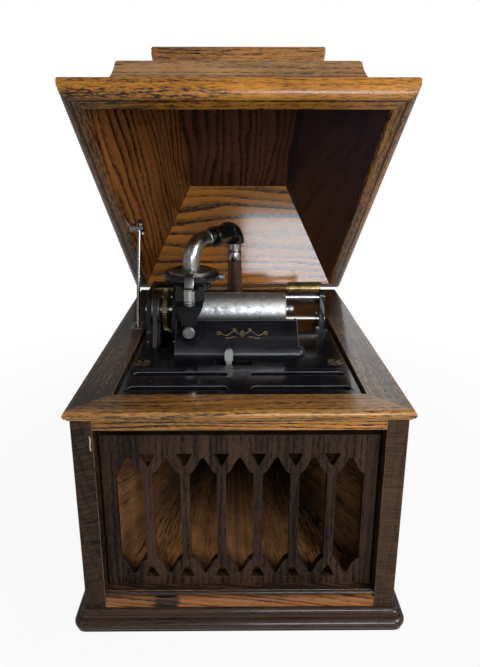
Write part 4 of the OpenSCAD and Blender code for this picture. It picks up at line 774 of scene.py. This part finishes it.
def fit_stay_plate():
    """The plate that carries the stay on the lid's left side, with its two screws."""
    # The panel leans in by slope and rises by rise for each step up its face
    slope = (LINING_HALF - CEILING_HALF) / LID_INSIDE
    lift, middle = 20.5, 58.5
    half_w, half_l, thick = 6.5, 15.0, 1.2
    rise = 0.885

    def at(y, b, out):
        """A place on the sloping panel: y along the lid, b up the panel, out from it."""
        inward = Vector((1.0, 0.0, -slope)).normalized()
        panel = Vector((-LINING_HALF + slope * b, y, LID_LOW + b)) + inward * out
        return lid_point(*panel)

    plate = bmesh.new()
    rows = []
    for out, inset in ((-0.3, 0.0), (thick - 0.4, 0.0), (thick, 0.5)):
        row = []
        for end in (1, -1):
            for k in range(13):
                angle = math.pi * (k / 12 - 0.5)
                reach = half_w - inset
                row.append(plate.verts.new(at(middle + end * (half_l + reach * math.cos(angle)),
                                              lift + end * reach * math.sin(angle) * rise, out)))
        rows.append(row)
    skin(plate, rows)
    plate.faces.new(rows[0])
    plate.faces.new(rows[-1])
    make_piece("stay_plate", plate, "lid", stay_iron)
    screws = bmesh.new()
    for y, turn in ((middle - 11.7, 0.5), (middle + 11.7, 1.3)):
        up = at(y, lift, 1.0) - at(y, lift, 0.0)
        drive_screw(screws, at(y, lift, thick), up, 3.0, 2.6, turn)
    make_piece("stay_plate_screws", screws, "lid", paddle_nickel)


def fit_screws():
    """Screws and bolts of the hinges, escutcheon, bedplate and standards."""
    leaf, lid_leaf = bmesh.new(), bmesh.new()
    lid_up = lid_point(0, 0, -1) - lid_point(0, 0, 0)
    for side in (-1, 1):
        for k, x in enumerate(HINGE_SCREW_X):
            on_rim = (side * x, HINGE_SCREW_Y, RIM_TOP)
            drive_screw(leaf, on_rim, UP, HINGE_SCREW_RADIUS, HINGE_SCREW_HIGH, 0.7 * k + side)
            on_lid = lid_point(side * x, HINGE_SCREW_Y, LID_LOW)
            drive_screw(lid_leaf, on_lid, lid_up, HINGE_SCREW_RADIUS, HINGE_SCREW_HIGH, 1.1 * k - side)
    make_piece("hinge_screws", leaf, "cabinet", hinge_brass)
    make_piece("lid_hinge_screws", lid_leaf, "lid", hinge_brass)
    low, high = (corner * 1000 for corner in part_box("crank_escutcheon"))
    ring = bmesh.new()
    middle = (low + high) / 2
    for side in (-1, 1):
        drive_screw(ring, (high.x, middle.y + side * 12.6, middle.z), (1, 0, 0), 2.0, 0.9, 0.6 * side)
    make_piece("escutcheon_screws", ring, "cabinet", hinge_brass)
    bed = bmesh.new()
    for x, y, turn in ((-113.0, 166.0, 0.2), (113.0, 166.0, 1.1), (-113.0, 96.0, 0.8), (113.0, 96.0, 0.4)):
        drive_screw(bed, (x, y, BED_TOP), UP, 3.6, 1.5, turn)
    for y, turn in ((21.0, 0.3), (51.0, 1.0)):
        drive_screw(bed, (103.0, y, BED_TOP + 4.0), UP, 2.3, 1.3, turn)
    make_piece("bed_screws", bed, "cabinet", bright_nickel)
    bolts = bmesh.new()
    for x in (-109.5, -78.5):
        drive_bolt(bolts, (x, -31.5, BED_TOP + 3.0), UP, 1.7, 2.4)
    make_piece("standard_bolts", bolts, "cabinet", bright_nickel)


def fit_reproducer():
    """The strap over the reproducer's front, its side lug and the rings of the barrel post."""
    path = [(-11.0, 323.0), (-28.0, 323.0), (-33.0, 322.0), (-36.5, 318.5), (-39.5, 313.0), (-41.0, 309.0)]
    half_widths = [3.6, 3.8, 4.6, 5.4, 5.6, 5.2]
    strap = bmesh.new()
    rows = []
    for i, (y, z) in enumerate(path):
        before, after = path[max(i - 1, 0)], path[min(i + 1, len(path) - 1)]
        along = Vector((0, after[0] - before[0], after[1] - before[1])).normalized()
        out = along.cross(Vector((1, 0, 0))).normalized()
        if out.z < 0:
            out = -out
        row = []
        for across, lift in ((-1, -0.8), (1, -0.8), (1, 0.4), (0.85, 0.8), (-0.85, 0.8), (-1, 0.4)):
            row.append(strap.verts.new(Vector((REPRODUCER_X + across * half_widths[i], y, z)) + out * lift))
        rows.append(row)
    skin(strap, rows)
    strap.faces.new(rows[0])
    strap.faces.new(rows[-1])
    make_piece("reproducer_strap", strap, "carriage", face_nickel)
    lug = bmesh.new()
    turn_on_lathe(lug, (-27.0, 2.0, 312.0), (1, 0, 0), [(0, 0), (0, 3.4), (3.0, 3.4), (3.4, 4.6), (8.6, 4.6),
                                                      (9.6, 3.8), (9.6, 1.6), (9.0, 1.4), (9.0, 0)])
    make_piece("reproducer_lug", lug, "carriage", dark_iron)
    rings = bmesh.new()
    for start, end, radius in ((288.6, 290.4, 6.9), (293.6, 295.0, 6.9)):
        turn_band(rings, BARREL_POST_AXIS, UP, start, end, radius)
    make_piece("barrel_post_rings", rings, "carriage", dark_iron)


def fit_arm_bands():
    """Rings at the neck's end, the sleeve's mouth and the elbow, round the arm's axis."""
    for name, body, slot, finish, low, high, radius in (
            ("neck_end_ring", "neck", "nickel", tube_nickel, 34.6, 38.8, 10.7),
            ("sleeve_mouth_ring", "tone_arm", "black_enamel", carriage_enamel, 53.9, 57.6, 12.9),
            ("elbow_ring", "tone_arm", "black_enamel", carriage_enamel, 92.0, 97.0, 13.9)):
        ring = bmesh.new()
        turn_band(ring, ARM_START, ARM_ALONG, low, high, radius, sunk=1.6)
        make_piece(name, ring, body, finish)


def cut_feed_thread():
    """The feed screw's thread, a fine ridge wound along the rod."""
    ridge = bmesh.new()
    first, last, pitch, steps = -72.0, 104.0, 2.0, 14
    rows = []
    for k in range(int((last - first) / pitch * steps) + 1):
        angle = 2 * math.pi * k / steps
        x = first + pitch * k / steps
        row = []
        for shift, radius in ((-0.7, 3.95), (0.0, 4.22), (0.7, 3.95)):
            y, z = FEED_SCREW_Y + radius * math.cos(angle), FEED_SCREW_Z + radius * math.sin(angle)
            row.append(ridge.verts.new((x + shift, y, z)))
        rows.append(row)
    skin(ridge, rows)
    make_piece("feed_thread", ridge, "feed_screw", screw_steel)


def fit_casting_foot():
    """The casting's rounded foot, along its front and round its right corner, and the tone post's ferrule."""
    end = -38.0
    profile = [(-0.6, 241.0), (0.2, 242.3), (2.6, 241.8), (5.0, 240.1), (6.8, 237.6), (7.5, 234.9),
               (-0.6, 234.9)]
    foot = bmesh.new()
    rows = [[foot.verts.new((CASTING_LEFT, CASTING_LEDGE - out, z)) for out, z in profile]]
    for k in range(9):
        angle = math.radians(90 * k / 8)
        across, ahead = math.sin(angle), math.cos(angle)
        rows.append([foot.verts.new((CASTING_RIGHT + out * across, CASTING_LEDGE - out * ahead, z))
                     for out, z in profile])
    rows.append([foot.verts.new((CASTING_RIGHT + out, end, z)) for out, z in profile])
    skin(foot, rows)
    foot.faces.new(rows[0])
    foot.faces.new(rows[-1])
    make_piece("casting_foot", foot, "cabinet", foot_sheen_enamel, crease=60.0)
    ferrule = bmesh.new()
    turn_band(ferrule, TONE_POST_AXIS, UP, 311.0, 323.9, 9.5, bead=0.8, sunk=1.6)
    make_piece("post_ferrule", ferrule, "cabinet", tube_nickel)


def fit_lid_bead():
    """The bead under the lid's back edge, between the hinges, that shuts the gap when the lid is open."""
    profile = [(212.5, 243.2), (212.6, 237.4), (213.3, 236.6), (214.6, 236.3), (216.0, 237.0), (216.7, 238.5),
               (216.8, 248.8)]
    bead = bmesh.new()
    rows = [[bead.verts.new(lid_point(x, y, z)) for y, z in profile] for x in (-80.0, 80.0)]
    skin(bead, rows)
    for row in rows:
        bead.faces.new(row)
    make_piece("lid_back_bead", bead, "lid", lid_cove_oak)


def chip_post():
    """A sliver of bare oak where the left front post's inner edge is chipped."""
    chip = bmesh.new()
    face = -206.9
    sliver = [(-137.9, face, 213.0), (-137.4, face, 208.0), (-138.1, face, 203.0), (-137.6, face, 198.0)]
    lay_strip(chip, sliver, 1.1, 0.25, (0, -1, 0))
    make_piece("post_chip", chip, "cabinet", bare_oak)


gild_bedplate()
gild_casting()
chip_post()
fit_casting_foot()
fit_lid_bead()
fit_stay_plate()
fit_screws()
fit_reproducer()
fit_arm_bands()
cut_feed_thread()


# Stage

# The camera: its place in metres, its angles in degrees and, in the picture's pixels, its lens
CAMERA_PLACE, CAMERA_DOWN, CAMERA_RIGHT = (-0.003, -0.656, 0.474), 15.57, 0.4
PICTURE_TALL, FOCAL_LENGTH, SHIFT_DOWN = 667, 548, 40
SENSOR = 36.0
FLOOR_GREY, FLOOR_DROP, FLOOR_HALF = (0.45, 0.45, 0.45, 1.0), 0.0005, 12.0


def put_camera():
    camera = bpy.data.objects.new("camera", bpy.data.cameras.new("camera"))
    bpy.context.scene.collection.objects.link(camera)
    camera.location = CAMERA_PLACE
    camera.rotation_euler = (math.radians(90 - CAMERA_DOWN), 0.0, math.radians(-CAMERA_RIGHT))
    camera.data.sensor_width = SENSOR
    camera.data.lens = SENSOR * FOCAL_LENGTH / PICTURE_TALL
    camera.data.shift_y = -SHIFT_DOWN / PICTURE_TALL
    camera.data.clip_start = 0.01
    bpy.context.scene.camera = camera


def put_lamp(name, place_at, aim, width, height, power, colour):
    lamp = bpy.data.lights.new(name, "AREA")
    lamp.shape = "RECTANGLE"
    lamp.size = width
    lamp.size_y = height
    lamp.energy = power
    lamp.color = colour
    holder = bpy.data.objects.new(name, lamp)
    bpy.context.scene.collection.objects.link(holder)
    holder.location = place_at
    holder.rotation_euler = (Vector(aim) - Vector(place_at)).to_track_quat("-Z", "Y").to_euler()
    holder.visible_camera = False


def seen_directly(tree, mirrored):
    """1 where the camera or glass sees it, and the given share where a glossy surface mirrors it."""
    path = add(tree, "ShaderNodeLightPath")
    seen = plus(tree, path.outputs["Is Camera Ray"], path.outputs["Is Transmission Ray"])
    return plus(tree, seen, by(tree, path.outputs["Is Glossy Ray"], mirrored), clamp=True)


def put_floor():
    mesh = bpy.data.meshes.new("floor")
    half = FLOOR_HALF
    corners = [(-half, -half, 0), (half, -half, 0), (half, half, 0), (-half, half, 0)]
    mesh.from_pydata(corners, [], [(0, 1, 2, 3)])
    floor = bpy.data.objects.new("floor", mesh)
    bpy.context.scene.collection.objects.link(floor)
    floor.location.z = -FLOOR_DROP
    material = bpy.data.materials.new("pale_floor")
    material.use_nodes = True
    tree = material.node_tree
    tree.nodes.clear()
    paint = add(tree, "ShaderNodeBsdfDiffuse")
    paint.inputs["Color"].default_value = FLOOR_GREY
    glow = add(tree, "ShaderNodeEmission")
    glow.inputs["Strength"].default_value = 1.0
    away = add(tree, "ShaderNodeVectorMath", operation="LENGTH")
    wire(tree, add(tree, "ShaderNodeTexCoord").outputs["Object"], away.inputs[0])
    share = spread(tree, away.outputs["Value"], 0.3, 0.8, 0.93, 1.0)
    mix = add(tree, "ShaderNodeMixShader")
    wire(tree, by(tree, seen_directly(tree, 0.2), share), mix.inputs[0])
    wire(tree, paint.outputs[0], mix.inputs[1])
    wire(tree, glow.outputs[0], mix.inputs[2])
    wire(tree, mix.outputs[0], add(tree, "ShaderNodeOutputMaterial").inputs["Surface"])
    mesh.materials.append(material)


def light_world():
    world = bpy.data.worlds.new("studio")
    bpy.context.scene.world = world
    world.use_nodes = True
    tree = world.node_tree
    tree.nodes.clear()
    back = add(tree, "ShaderNodeBackground")
    back.inputs["Color"].default_value = (1.0, 1.0, 1.0, 1.0)
    wire(tree, spread(tree, seen_directly(tree, 0.02), 0.0, 1.0, 0.22, 1.0), back.inputs["Strength"])
    wire(tree, back.outputs[0], add(tree, "ShaderNodeOutputWorld").inputs["Surface"])


put_camera()
put_floor()
light_world()
put_lamp("window", (0.34, -1.8, 0.6), (0.34, 0.2, 0.6), 0.6, 0.4, 12.0, (0.86, 0.93, 1.0))
put_lamp("key", (1.1, -1.0, 1.1), (0.0, 0.0, 0.25), 0.7, 0.7, 24.0, (1.0, 0.97, 0.93))
put_lamp("fill", (-1.6, -1.6, 1.2), (0.0, 0.0, 0.2), 1.2, 1.2, 1.6, (0.95, 0.97, 1.0))
put_lamp("behind", (0.62, 1.5, 0.84), (0.1, 0.0, 0.25), 0.5, 0.6, 1.2, (0.97, 0.98, 1.0))
bpy.context.scene.view_settings.view_transform = "Standard"
